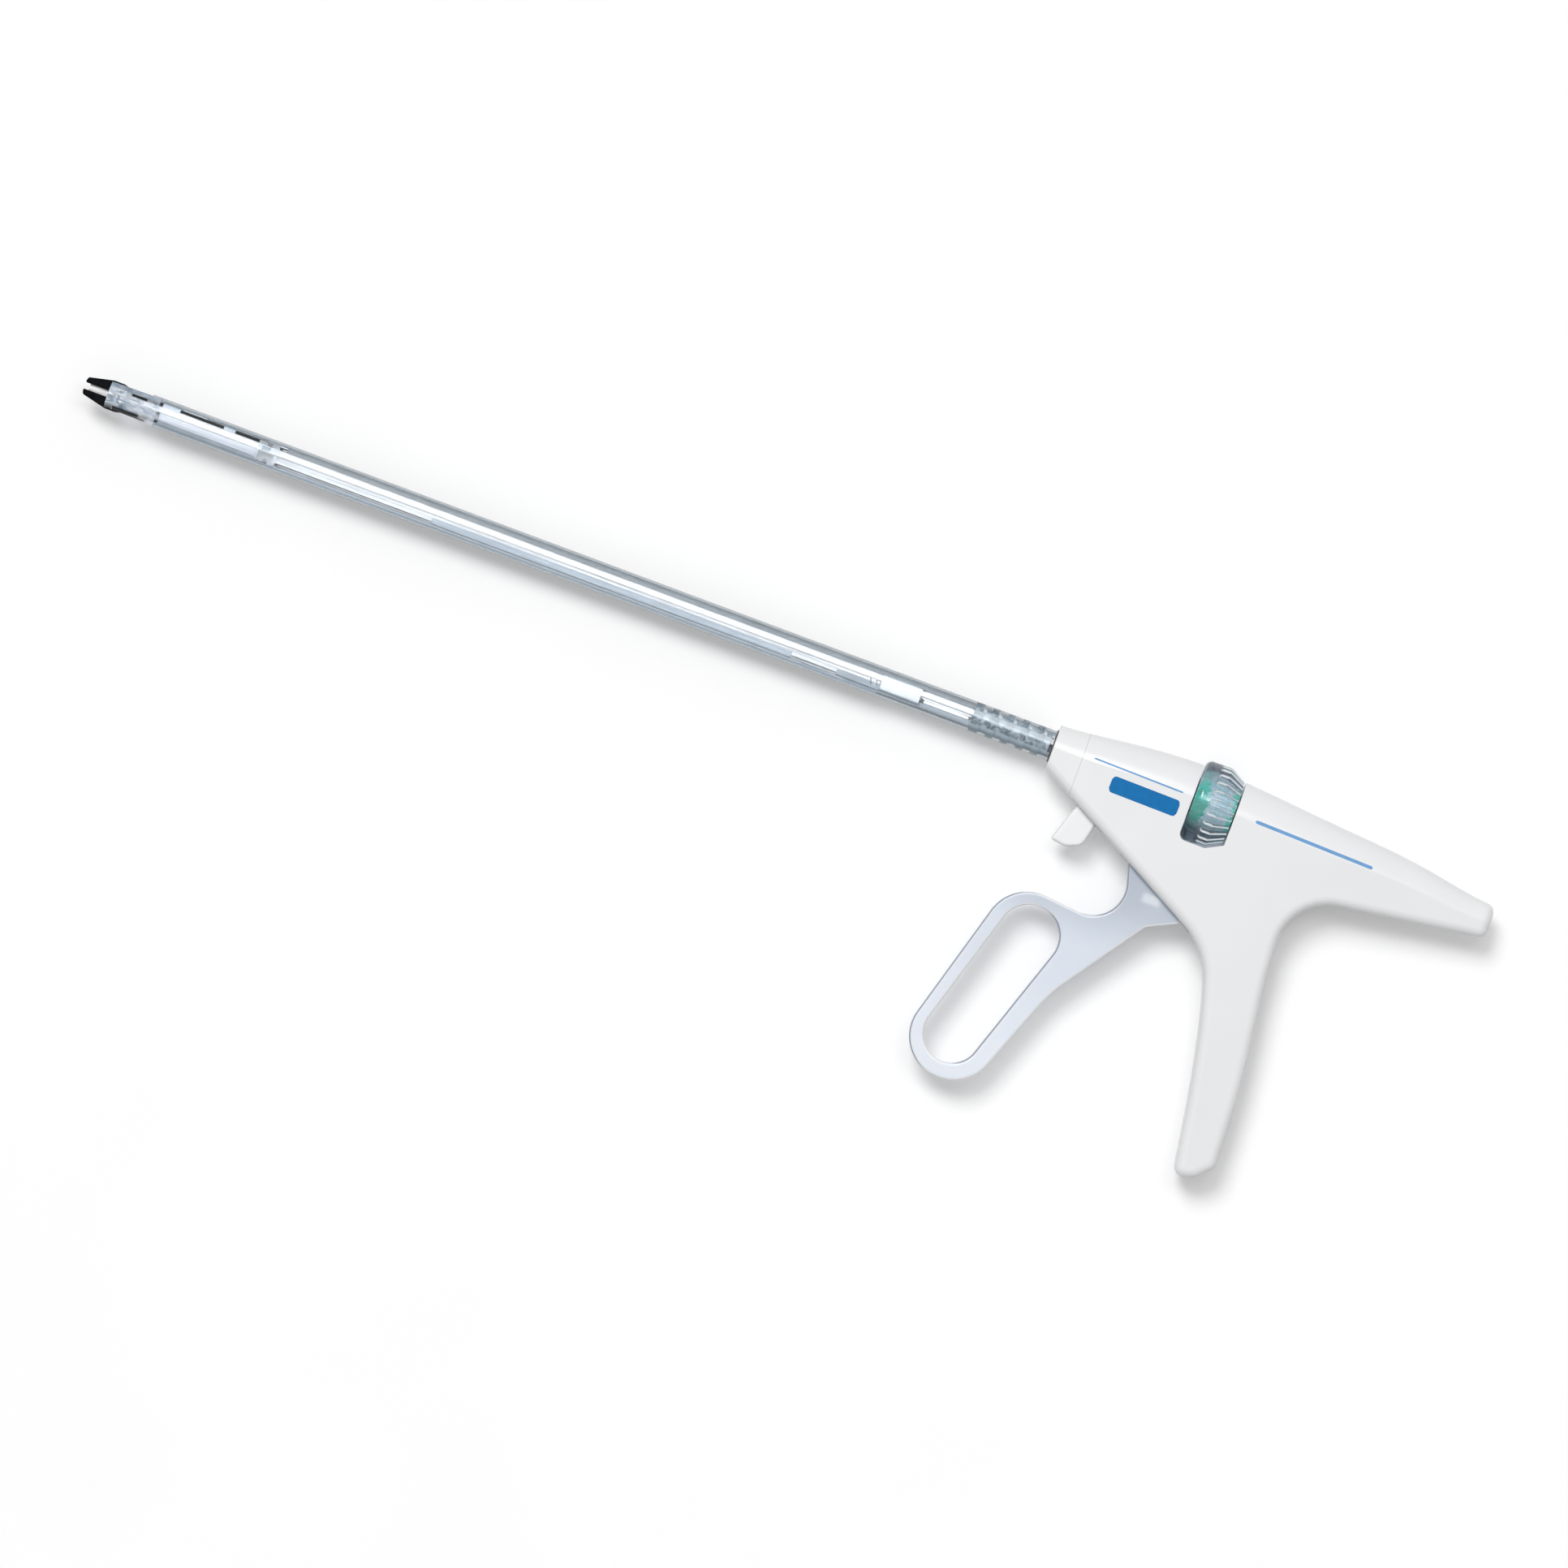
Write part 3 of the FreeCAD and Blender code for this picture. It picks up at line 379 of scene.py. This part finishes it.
def frosted_plastic(name):
    """Satin translucent plastic of the lever, with painted shade darkening it towards its neck, painted
    highlights on its rims and painted shade on its rims that face forward.
    """
    loop, arm, neck = (0.75, 0.79, 0.865), (0.665, 0.72, 0.80), (0.43, 0.48, 0.555)
    loop_end, arm_start, neck_full = -100 * MM, -60 * MM, -36 * MM
    haze = (0.86, 0.89, 0.94)
    rim_highlight_all, rim_highlight_rear, rim_shade_front = (0.90, 0.93, 0.97), (0.93, 0.95, 0.98), (0.24, 0.28, 0.34)
    pale_patch_weight, highlight_weight_all, highlight_weight_rear, shade_weight_front = 0.5, 0.55, 0.9, 0.85
    look = Look(name)
    clouds = look.noise(30.0, 2.0, distortion=0.6)
    height = look.axis("Y")
    # Painted shade: darker from the loop towards the neck, standing for the housing's shade over the neck
    colour = look.mix(look.span(height, loop_end, arm_start), loop, arm)
    colour = look.mix(look.span(height, arm_start, neck_full), colour, neck)
    colour = look.mix(look.span(clouds, 0.3, 0.7, 0.0, 0.12), colour, haze)
    # The window mask is only a paler patch near the hub
    window = look.times(look.band("X", 44.0, 50.0, 1.2), look.band("Y", -37.2, -34.2, 0.8))
    colour = look.over(window, pale_patch_weight, colour, haze)
    # Painted highlights along all rims and the rear rims; painted shade along the rims that face forward
    colour = look.over(look.rim(0.62, 0.94), highlight_weight_all, colour, rim_highlight_all)
    pale = look.times(look.rim(0.2, 0.94), look.span(look.facing("X"), -0.2, 0.2))
    colour = look.over(pale, highlight_weight_rear, colour, rim_highlight_rear)
    dark = look.times(look.rim(0.0, 0.88), look.span(look.facing("X"), -0.25, -0.45))
    look.colour(look.over(dark, shade_weight_front, colour, rim_shade_front))
    look.roughness(look.noise(90.0, 1.0), 0.28, 0.36)
    look.bump((look.noise(70.0, 1.0), 0.03, 0.15), (look.noise(4200.0, 2.0), 0.004, 0.12))
    return look.set(Subsurface_Weight=0.2, Subsurface_Scale=0.003, IOR=ACRYLIC_IOR).material


def satin_plastic(name, tint, rough=0.42):
    """Plain moulded plastic with fine grain and soft clouding."""
    look = Look(name)
    look.colour(look.mix(look.spread(look.noise(120.0, 3.0)), darker(tint, 0.86), tint))
    look.roughness(look.noise(500.0, 2.0), rough - 0.06, rough + 0.08)
    look.bump((look.moulded_grain(), 0.004, 0.6))
    return look.material


def two_sided_rail(name):
    """Channel plastic: plain grey along its upper side and paler blue grey along its lower side."""
    upper, lower, line_tint = (0.30, 0.335, 0.36), (0.47, 0.53, 0.59), (0.66, 0.71, 0.76)
    look = Look(name)
    lines = look.noise(2600.0, 3.0, (0.015, 1.0, 1.0))
    colour = look.mix(look.span(look.axis("Y"), -0.5 * MM, 0.5 * MM), lower, upper)
    look.colour(look.mix(look.span(lines, 0.35, 0.7, 0.0, 0.35), colour, line_tint))
    look.roughness(lines, 0.26, 0.4)
    look.bump((lines, 0.006, 0.6))
    return look.material


def milky_window(name):
    """Thin blue-grey window over the clips, which show faintly through it."""
    dark, pale = (0.48, 0.53, 0.59), (0.59, 0.64, 0.70)
    look = Look(name)
    lines = look.noise(2200.0, 3.0, (0.02, 1.0, 1.0))
    look.colour(look.mix(look.streaks(lines), dark, pale))
    look.roughness(lines, 0.18, 0.3)
    look.bump((lines, 0.005, 0.5))
    look.set(Transmission_Weight=0.25, IOR=THIN_STRIP_IOR)
    return look.lets_lamps_through((0.5, 0.52, 0.55)).material


def ribbed_seal(name):
    """Seal plug: mottled grey between pale gaps, with the bright strip through it and dark slots below."""
    dark_grey, pale_grey, low_grey = (0.17, 0.205, 0.235), (0.40, 0.46, 0.505), (0.42, 0.49, 0.54)
    slot_grey, gap_tint, strip_tint = (0.13, 0.16, 0.18), (0.74, 0.78, 0.81), (0.46, 0.495, 0.53)
    ring_pitch, gap_weight = 5.2 * MM, 0.8
    look = Look(name)
    mottles = look.noise(520.0, 4.0, (0.8, 1.0, 1.0), distortion=1.2)
    turns = look.times(look.axis("X"), 2 * math.pi / ring_pitch)
    gaps = look.span(look.math("SINE", turns), 0.72, 0.9)
    slots = look.times(look.band("Y", -2.0, -0.1, 0.2), look.span(mottles, 0.38, 0.56, 0.95, 0.3))
    slots = look.times(slots, look.math("SUBTRACT", 1.0, gaps))
    colour = look.mix(look.span(mottles, 0.36, 0.62), dark_grey, pale_grey)
    colour = look.mix(look.band("Y", -4.4, -2.2, 0.2), colour, low_grey)
    colour = look.mix(slots, colour, slot_grey)
    colour = look.over(look.times(look.band("Y", 2.3, 4.6, 0.15), gaps), gap_weight, colour, gap_tint)
    look.colour(look.mix(look.band("Y", 0.3, 2.1, 0.25), colour, strip_tint))
    look.roughness(mottles, 0.35, 0.5)
    look.bump((mottles, 0.05, 0.5))
    return look.set(Specular_IOR_Level=0.25).material


def cover_strip(name):
    """Bright stamped cover with greyer flanks."""
    dark, pale, flank = (0.62, 0.635, 0.65), (0.76, 0.765, 0.775), (0.40, 0.46, 0.51)
    groove_grey, groove_weight = (0.5, 0.53, 0.56), 0.5
    look = Look(name)
    lines = look.drawn_lines()
    colour = look.mix(look.band("Y", -2.0, 2.2, 0.12), flank, look.mix(look.streaks(lines), dark, pale))
    look.colour(look.over(look.band("Y", -0.35, -0.2, 0.06), groove_weight, colour, groove_grey))
    look.roughness(lines, 0.3, 0.45)
    look.bump((lines, 0.004, 0.5))
    return look.material


def lined_plastic(name, tint, line_tint):
    """Pale guide plastic with fine grooves along the shaft."""
    look = Look(name)
    lines = look.noise(2400.0, 3.0, (0.012, 1.0, 1.0))
    look.colour(look.mix(look.span(lines, 0.38, 0.62), line_tint, tint))
    look.roughness(look.noise(500.0, 2.0), 0.26, 0.4)
    look.bump((lines, 0.01, 0.6))
    return look.material


def anchor_block(name):
    """Clear block of the jaw pins with a small grey insert."""
    hazy, clear, clearness = (0.88, 0.90, 0.92), (0.94, 0.95, 0.96), 0.85
    insert_grey = (0.42, 0.49, 0.54)
    look = Look(name)
    haze = look.noise(900.0, 3.0)
    insert = look.times(look.band("X", -274.0, -271.4, 0.15), look.band("Y", 0.0, 1.7, 0.15))
    look.colour(look.mix(insert, look.mix(look.spread(haze), hazy, clear), insert_grey))
    look.link(look.span(insert, 0.0, 1.0, clearness, 0.0), look.shader.inputs["Transmission Weight"])
    look.roughness(haze, 0.1, 0.2)
    look.bump((haze, 0.01, 0.5))
    look.set(IOR=THIN_STRIP_IOR)
    return look.lets_lamps_through((0.85, 0.86, 0.88)).material


def pusher_strip(name):
    """Bright strip that pushes the clips, with two faint lines along it."""
    dark, pale = (0.67, 0.675, 0.685), (0.74, 0.745, 0.75)
    line_grey, line_weight = (0.48, 0.51, 0.54), 0.55
    look = Look(name)
    lines = look.drawn_lines()
    thin = look.larger(look.band("Y", 0.38, 0.5, 0.08), look.band("Y", 1.38, 1.46, 0.1))
    look.colour(look.over(thin, line_weight, look.mix(look.streaks(lines), dark, pale), line_grey))
    look.roughness(lines, 0.26, 0.46)
    look.bump((lines, 0.004, 0.6))
    return look.set(Metallic=0.1).material


def drawn_metal(name, tint, rough, metallic=1.0, contrast=0.8):
    """Metal strip or wire, drawn along the shaft, with fine scratches."""
    look = Look(name)
    lines = look.drawn_lines()
    look.colour(look.mix(look.spread(look.noise(260.0, 2.0)), darker(tint, contrast), tint))
    look.roughness(lines, rough - 0.08, rough + 0.12)
    look.bump((lines, 0.004, 0.6))
    return look.set(Metallic=metallic).material


def black_steel(name):
    """Blackened steel of the jaws, with a fine blasted grain and rubbed streaks."""
    dark, pale, rubbed = (0.002, 0.0025, 0.0035), (0.006, 0.0065, 0.008), (0.02, 0.02, 0.023)
    look = Look(name)
    rubs = look.noise(1400.0, 3.0, (0.2, 1.0, 1.0))
    colour = look.mix(look.spread(look.noise(600.0, 3.0)), dark, pale)
    look.colour(look.mix(look.span(rubs, 0.62, 0.72, 0.0, 0.5), colour, rubbed))
    look.roughness(look.noise(1500.0, 3.0), 0.4, 0.55)
    look.bump((look.noise(7000.0, 3.0), 0.005, 0.6))
    return look.set(Specular_IOR_Level=0.03).material


def green_plastic(name):
    """Emerald moulded collar, vivid at its ends and pale mint in its middle; the pale middle is partly its
    own colour and partly a painted highlight seen through the knob.
    """
    emerald, vivid = (0.0, 0.50, 0.30), (0.02, 0.82, 0.54)
    mint, pale_mint = (0.42, 0.78, 0.68), (0.86, 0.92, 0.91)
    waver, low_start, low_full, high_start, high_full = 1.2 * MM, 51.8 * MM, 53.4 * MM, 59.6 * MM, 60.8 * MM
    look = Look(name)
    clouds = look.noise(260.0, 3.0, distortion=0.9)
    ends = look.mix(look.span(clouds, 0.35, 0.65), emerald, vivid)
    across = look.math("ADD", look.axis("X"), look.span(clouds, 0.3, 0.7, -waver, waver))
    # Pale mint middle: partly a painted highlight seen through the knob's flutes
    middle = look.times(look.span(across, low_start, low_full),
                        look.span(across, high_start, high_full, 1.0, 0.0))
    centre = look.mix(look.span(look.noise(700.0, 3.0), 0.35, 0.65), mint, pale_mint)
    look.colour(look.mix(middle, ends, centre))
    look.roughness(look.noise(500.0, 2.0), 0.15, 0.28)
    look.bump((look.noise(900.0, 2.0), 0.03, 0.5))
    return look.material


def print_ink(name, tint):
    """Pad-printed ink: a hair uneven, with pinholes."""
    pin_tint = tuple(0.6 * c + 0.2 for c in tint)
    look = Look(name)
    clouds = look.noise(500.0, 3.0)
    colour = look.mix(look.spread(clouds), darker(tint, 0.9), tint)
    look.colour(look.mix(look.span(look.cells(2600.0), 0.02, 0.1, 0.25, 0.0), colour, pin_tint))
    look.roughness(look.noise(900.0, 2.0), 0.3, 0.45)
    look.bump((clouds, 0.003, 0.5))
    return look.set(Specular_IOR_Level=0.15).material


looks = {
    "shell": moulded_white("Shell_white", (0.80, 0.805, 0.815), SEAM_X),
    "cap": moulded_white("Cap_white", (0.80, 0.81, 0.815), SEAM_X),
    "trigger": moulded_white("Trigger_white", (0.81, 0.83, 0.835)),
    "tube": clear_tube("Tube_clear"),
    "fork": frosted_nose("Nose_milky"),
    "knob": fluted_clear("Knob_smoke"),
    "plug": ribbed_seal("Plug_mottled"),
    "lever": frosted_plastic("Lever_frosted"),
    "green": green_plastic("Collar_green"),
    "grey": satin_plastic("Grey_plastic", (0.34, 0.37, 0.40)),
    "bearing": satin_plastic("Bearing_plastic", (0.10, 0.11, 0.12), 0.45),
    "rail": two_sided_rail("Rail_blue_grey"),
    "rail_dark": satin_plastic("Rail_grey", (0.25, 0.27, 0.285), 0.4),
    "rail_light": satin_plastic("Rail_pale", (0.50, 0.56, 0.62), 0.3),
    "rail_mid": satin_plastic("Rail_blue", (0.33, 0.37, 0.41), 0.4),
    "tray": lined_plastic("Tray_white", (0.75, 0.755, 0.765), (0.56, 0.575, 0.595)),
    "plate": lined_plastic("Plate_pale", (0.59, 0.61, 0.65), (0.38, 0.41, 0.455)),
    "window": milky_window("Window_blue_grey"),
    "cover": cover_strip("Cover_bright"),
    "anchor": anchor_block("Anchor_pale"),
    "ring_look": satin_plastic("Ring_dark_satin", (0.10, 0.105, 0.11), 0.6),
    "steel": drawn_metal("Steel_bright", (0.62, 0.63, 0.65), 0.3),
    "strip": drawn_metal("Strip_bright", (0.80, 0.805, 0.81), 0.34, 0.1, 0.97),
    "pusher": pusher_strip("Pusher_bright"),
    "titanium": drawn_metal("Titanium_satin", (0.32, 0.32, 0.33), 0.34),
    "black": black_steel("Jaw_black"),
    "blue": print_ink("Ink_blue", (0.0, 0.16, 0.44)),
    "light_blue": print_ink("Ink_light_blue", (0.16, 0.36, 0.66)),
}

WORN_BY = {
    "shell": ["left_shell", "right_shell"],
    "cap": ["nose_cap"],
    "trigger": ["trigger"],
    "tube": ["outer_tube"],
    "fork": ["nose_fork"],
    "anchor": ["jaw_anchor"],
    "knob": ["rotation_knob"],
    "plug": ["seal_plug"],
    "lever": ["squeeze_lever"],
    "green": ["knob_core"],
    "grey": ["thrust_ring", "shell_pegs", "closure_spool", "pusher_spool"],
    "bearing": ["front_bush", "rear_bush", "spring_stop_pin"],
    "rail": ["closure_channel"],
    "tray": ["clip_magazine", "clip_follower"],
    "steel": ["closure_return_spring", "pusher_return_spring", "follower_spring", "jaw_pins",
              "lever_pivot_pin", "trigger_pivot_pin"],
    "pusher": ["pusher_bar"],
    "cover": ["magazine_cover"],
    "titanium": ["clip_stack", "loaded_clip"],
    "black": ["upper_jaw", "lower_jaw"],
}
for look_name, members in WORN_BY.items():
    for member in members:
        mesh = nodes[member].data
        mesh.materials.clear()
        mesh.materials.append(looks[look_name])


# Fine details that sit on or in the solids

def put(name, mesh, body):
    """Puts a mesh in the scene as a piece that rides on a body."""
    piece = bpy.data.objects.new(name, mesh)
    bpy.context.scene.collection.objects.link(piece)
    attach(piece, body)
    return piece


def smooth_piece(name, vertices, faces, look, body):
    """A smooth mesh piece, vertices in millimetres, riding on a body."""
    mesh = bpy.data.meshes.new(name)
    mesh.from_pydata([[c * MM for c in v] for v in vertices], [], faces)
    mesh.materials.append(looks[look])
    for polygon in mesh.polygons:
        polygon.use_smooth = True
    put(name, mesh, body)


def surface_tree(*names):
    """Search tree over the outer surface of some nodes."""
    joined = bmesh.new()
    for name in names:
        joined.from_mesh(nodes[name].data)
    tree = BVHTree.FromBMesh(joined)
    joined.free()
    return tree


def printed_bar(name, look, centre, length, width, corner, angle, side, tree):
    """A plain rounded bar printed on the housing, laid on its surface."""
    lift, cell, fewest_columns, fewest_rows, ray_height = 0.025, 0.5, 8, 4, 30.0
    columns = max(fewest_columns, int(length / cell))
    rows = max(fewest_rows, int(width / cell))
    cosine, sine = math.cos(math.radians(angle)), math.sin(math.radians(angle))
    vertices, faces = [], []
    for i in range(columns + 1):
        u = length * (i / columns - 0.5)
        past = max(0.0, abs(u) - (length / 2 - corner))
        half = width / 2 - corner + math.sqrt(max(0.0, corner ** 2 - past ** 2))
        for j in range(rows + 1):
            v = half * (2 * j / rows - 1)
            x = centre[0] + u * cosine - v * sine
            y = centre[1] + u * sine + v * cosine
            start = Vector((x, y, side * ray_height)) * MM
            hit = tree.ray_cast(start, Vector((0, 0, -side)))[0]
            vertices.append((x, y, hit.z / MM + side * lift))
    for i in range(columns):
        for j in range(rows):
            a = i * (rows + 1) + j
            face = (a, a + rows + 1, a + rows + 2, a + 1)
            faces.append(face if side > 0 else face[::-1])
    smooth_piece(name, vertices, faces, look, "housing")


# Printed bars: (name, look, centre, length, width, corner, angle)
BARS = [
    ("Blue_bar", "blue", (33.0, -5.0), 23.4, 5.5, 1.3, -0.7),
    ("Thin_stripe", "light_blue", (29.0, 0.7), 31.0, 0.55, 0.27, -0.9),
    ("Tail_stripe", "light_blue", (90.0, -0.6), 41.0, 1.1, 0.54, -1.4),
]
for hand, side in (("left", 1), ("right", -1)):
    flank = surface_tree(f"{hand}_shell", "nose_cap")
    for name, *form in BARS:
        printed_bar(f"{name}_{hand}", *form, side, flank)


def bevelled_bar(name, low, high, look, body):
    """A strip between two corners, in millimetres, with rounded edges."""
    edge_round = 0.04
    shape = bmesh.new()
    bmesh.ops.create_cube(shape, size=1.0)
    for vertex in shape.verts:
        for k in range(3):
            vertex.co[k] = ((low[k] + high[k]) / 2 + vertex.co[k] * (high[k] - low[k])) * MM
    bmesh.ops.bevel(shape, geom=shape.edges[:], offset=edge_round * MM, segments=2, profile=0.5,
                    affect="EDGES")
    mesh = bpy.data.meshes.new(name)
    shape.to_mesh(mesh)
    shape.free()
    mesh.materials.append(looks[look])
    put(name, mesh, body)


# Strips inside the clear tube: (name, look, slot, x range, y range, z range)
INSIDE = [
    ("Guide_rail", "strip", "steel", (-280.0, -86.0), (-3.4, -3.15), (0.3, 0.7)),
    ("Guide_rail_end", "strip", "steel", (-76.7, -71.5), (-3.4, -3.15), (0.3, 0.7)),
    ("Side_rail_high", "rail_dark", "grey_plastic", (-266.0, -28.2), (2.3, 3.9), (1.25, 1.38)),
    ("Side_rail_low", "rail_light", "grey_plastic", (-266.0, -30.0), (-3.5, -2.9), (-0.5, 0.2)),
    ("Tray_top", "tray", "white_plastic", (-269.5, -59.6), (-0.85, 0.25), (1.0, 1.15)),
    ("Tray_top_high", "tray", "white_plastic", (-269.5, -59.6), (2.0, 2.25), (1.0, 1.15)),
    ("Tray_cover_front", "tray", "white_plastic", (-269.5, -214.5), (-2.1, -0.9), (1.0, 1.15)),
    ("Tray_cover_rear", "tray", "white_plastic", (-90.0, -74.5), (-2.0, -0.9), (1.0, 1.15)),
    ("Tray_window_front", "window", "clear_plastic", (-214.4, -90.1), (-2.8, -0.9), (1.0, 1.12)),
    ("Tray_window_rear", "rail_mid", "grey_plastic", (-74.4, -59.6), (-2.8, -0.9), (1.0, 1.12)),
    ("Tail_strip", "strip", "steel", (-44.5, -29.0), (-1.6, -0.7), (1.0, 1.15)),
    ("Tail_cover", "rail_mid", "grey_plastic", (-45.8, -28.2), (-3.4, -1.7), (1.0, 1.15)),
    ("Tail_floor", "tray", "white_plastic", (-45.8, -28.2), (-0.65, 0.25), (1.0, 1.15)),
    ("Tail_strip_high", "tray", "white_plastic", (-44.5, -28.2), (2.0, 2.2), (1.0, 1.15)),
    ("Front_plate", "plate", "white_plastic", (-309.0, -274.9), (-2.4, 0.2), (1.35, 1.5)),
    ("Front_plate_high", "tray", "white_plastic", (-309.0, -274.9), (2.02, 2.25), (1.35, 1.5)),
    ("Arm_cover_low", "rail_mid", "grey_plastic", (-309.0, -274.9), (-3.6, -2.5), (1.35, 1.5)),
    ("Arm_cover_high", "rail_dark", "grey_plastic", (-309.0, -266.2), (3.25, 3.75), (1.35, 1.5)),
    ("Arm_bridge_front", "rail_light", "grey_plastic", (-309.0, -303.0), (2.25, 3.25), (1.35, 1.5)),
    ("Arm_bridge_rear", "rail_light", "grey_plastic", (-288.0, -284.0), (2.25, 3.25), (1.35, 1.5)),
    ("Arm_insert_front", "tray", "white_plastic", (-302.0, -294.0), (3.2, 3.55), (1.5, 1.6)),
    ("Arm_insert_rear", "tray", "white_plastic", (-273.0, -266.0), (3.2, 3.55), (1.5, 1.6)),
]
for name, look, slot, across, up, deep in INSIDE:
    low, high = zip(across, up, deep)
    bevelled_bar(name, low, high, look, "shaft")


def turned_ring(name, inner, outer, start, end, corner, look, body):
    """Ring about the shaft's axis with rounded corners, in millimetres."""
    turns, corner_points, corner_step = 72, 4, 30
    profile = []
    for x, radius, first in ((end - corner, outer - corner, 0), (start + corner, outer - corner, 90),
                             (start + corner, inner + corner, 180), (end - corner, inner + corner, 270)):
        for step in range(corner_points):
            angle = math.radians(first + corner_step * step)
            profile.append((x + corner * math.cos(angle), radius + corner * math.sin(angle)))
    count = len(profile)
    vertices, faces = [], []
    for i in range(turns):
        angle = 2 * math.pi * i / turns
        vertices += [(x, r * math.cos(angle), r * math.sin(angle)) for x, r in profile]
        for j in range(count):
            k = (j + 1) % count
            after = (i + 1) % turns * count
            faces.append((i * count + j, after + j, after + k, i * count + k))
    smooth_piece(name, vertices, faces, look, body)


# Dark ring in the mouth of the nose cap, around the shaft
turned_ring("Dark_mouth_ring", 5.03, 5.45, -0.45, 0.6, 0.12, "ring_look", "housing")


# Springs and clip, as copies riding on their bodies

def soft_copy(name, node, body):
    """Stands for a springy solid with a copy of its mesh that rides on a body; the solid is hidden."""
    piece = put(name, nodes[node].data.copy(), body)
    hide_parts(node)
    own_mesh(piece)


def spring_that_shortens(name, node):
    """Return spring: a copy of it that rides on the housing."""
    soft_copy(name, node, "housing")


spring_that_shortens("Closure_coil", "closure_return_spring")
spring_that_shortens("Pusher_coil", "pusher_return_spring")
soft_copy("Clip_in_jaws", "loaded_clip", "shaft")


# Floor, light and camera

def floor_material():
    """Pale floor that stays white to the camera and keeps its shadow."""
    darker_spot, paler_spot, glow_strength = (0.84, 0.84, 0.84), (0.85, 0.85, 0.85), 0.16
    look = Look("Floor_white")
    look.colour(look.mix(look.spread(look.noise(14.0, 2.0)), darker_spot, paler_spot))
    look.roughness(look.noise(40.0, 2.0), 0.85, 0.95)
    look.set(Specular_IOR_Level=0.0)
    path = look.tree.nodes.new("ShaderNodeLightPath")
    seen = path.outputs[SEEN_RAYS[0]]
    for ray in SEEN_RAYS[1:]:
        seen = look.larger(seen, path.outputs[ray])
    glow = look.tree.nodes.new("ShaderNodeEmission")
    glow.inputs["Color"].default_value = (1.0, 1.0, 1.0, 1.0)
    look.link(look.times(seen, glow_strength), glow.inputs["Strength"])
    both = look.tree.nodes.new("ShaderNodeAddShader")
    look.link(look.shader.outputs[0], both.inputs[0])
    look.link(glow.outputs[0], both.inputs[1])
    look.link(both.outputs[0], look.output.inputs["Surface"])
    return look.material


def add_floor():
    """Floor that the object lies on, a hair below it; in metres."""
    gap, half = 0.00005, 6.0
    level = cad_box[0].z - gap
    mesh = bpy.data.meshes.new("Floor")
    mesh.from_pydata([(-half, -half, level), (half, -half, level), (half, half, level), (-half, half, level)],
                     [], [(0, 1, 2, 3)])
    mesh.materials.append(floor_material())
    floor = bpy.data.objects.new("Floor", mesh)
    bpy.context.scene.collection.objects.link(floor)


def add_world():
    """Soft room light, stronger from the upper left, and plain white behind everything."""
    brightest_side, weakest, strongest = (-0.12, 0.15, 1.0), 0.08, 0.65
    world = bpy.data.worlds.new("Soft_room")
    world.use_nodes = True
    bpy.context.scene.world = world
    tree = world.node_tree
    background = tree.nodes["Background"]
    direction = tree.nodes.new("ShaderNodeTexCoord").outputs["Generated"]
    towards = tree.nodes.new("ShaderNodeVectorMath")
    towards.operation = "DOT_PRODUCT"
    towards.inputs[1].default_value = Vector(brightest_side).normalized()
    tree.links.new(direction, towards.inputs[0])
    rise = tree.nodes.new("ShaderNodeMapRange")
    rise.inputs["To Min"].default_value = weakest
    rise.inputs["To Max"].default_value = strongest
    tree.links.new(towards.outputs["Value"], rise.inputs["Value"])
    path = tree.nodes.new("ShaderNodeLightPath")
    strength = rise.outputs["Result"]
    for ray in SEEN_RAYS:
        brighter = tree.nodes.new("ShaderNodeMath")
        brighter.operation = "MAXIMUM"
        tree.links.new(strength, brighter.inputs[0])
        tree.links.new(path.outputs[ray], brighter.inputs[1])
        strength = brighter.outputs[0]
    background.inputs["Color"].default_value = (1.0, 1.0, 1.0, 1.0)
    tree.links.new(strength, background.inputs["Strength"])


def add_key():
    """Large soft key light from the upper left of the picture."""
    lamp = bpy.data.lights.new("Key", "SUN")
    lamp.angle = math.radians(20)
    lamp.energy = 1.35
    key = bpy.data.objects.new("Key", lamp)
    bpy.context.scene.collection.objects.link(key)
    towards = Vector((-0.34, 0.37, 1.0))
    key.rotation_mode = "QUATERNION"
    key.rotation_quaternion = towards.to_track_quat("Z", "Y")


def add_softbox():
    """Long softbox above the object, for the streaks of light on knob, tube and barrel."""
    lamp = bpy.data.lights.new("Softbox", "AREA")
    lamp.shape = "RECTANGLE"
    lamp.size = 1.3
    lamp.size_y = 0.55
    lamp.energy = 12.0
    box = bpy.data.objects.new("Softbox", lamp)
    bpy.context.scene.collection.objects.link(box)
    box.location = (-0.05, 0.65, 2.5)
    box.rotation_euler = (-math.atan2(box.location.y, box.location.z), 0, 0)
    box.visible_camera = False


def add_camera():
    """Straight down on the object as it lies, turned as in the photograph."""
    distance, field, sensor, turn = 4.2, 0.5084, 36.0, 20.44
    aim_x, aim_y = -0.0776, -0.0420
    data = bpy.data.cameras.new("Camera")
    data.sensor_width = sensor
    data.lens = sensor * distance / field
    data.clip_start = 0.1
    data.clip_end = 50.0
    camera = bpy.data.objects.new("Camera", data)
    camera.location = (aim_x, aim_y, distance)
    camera.rotation_euler = (0, 0, math.radians(turn))
    bpy.context.scene.collection.objects.link(camera)
    bpy.context.scene.camera = camera


add_floor()
add_world()
add_key()
add_softbox()
add_camera()
bpy.context.scene.view_settings.view_transform = "Standard"
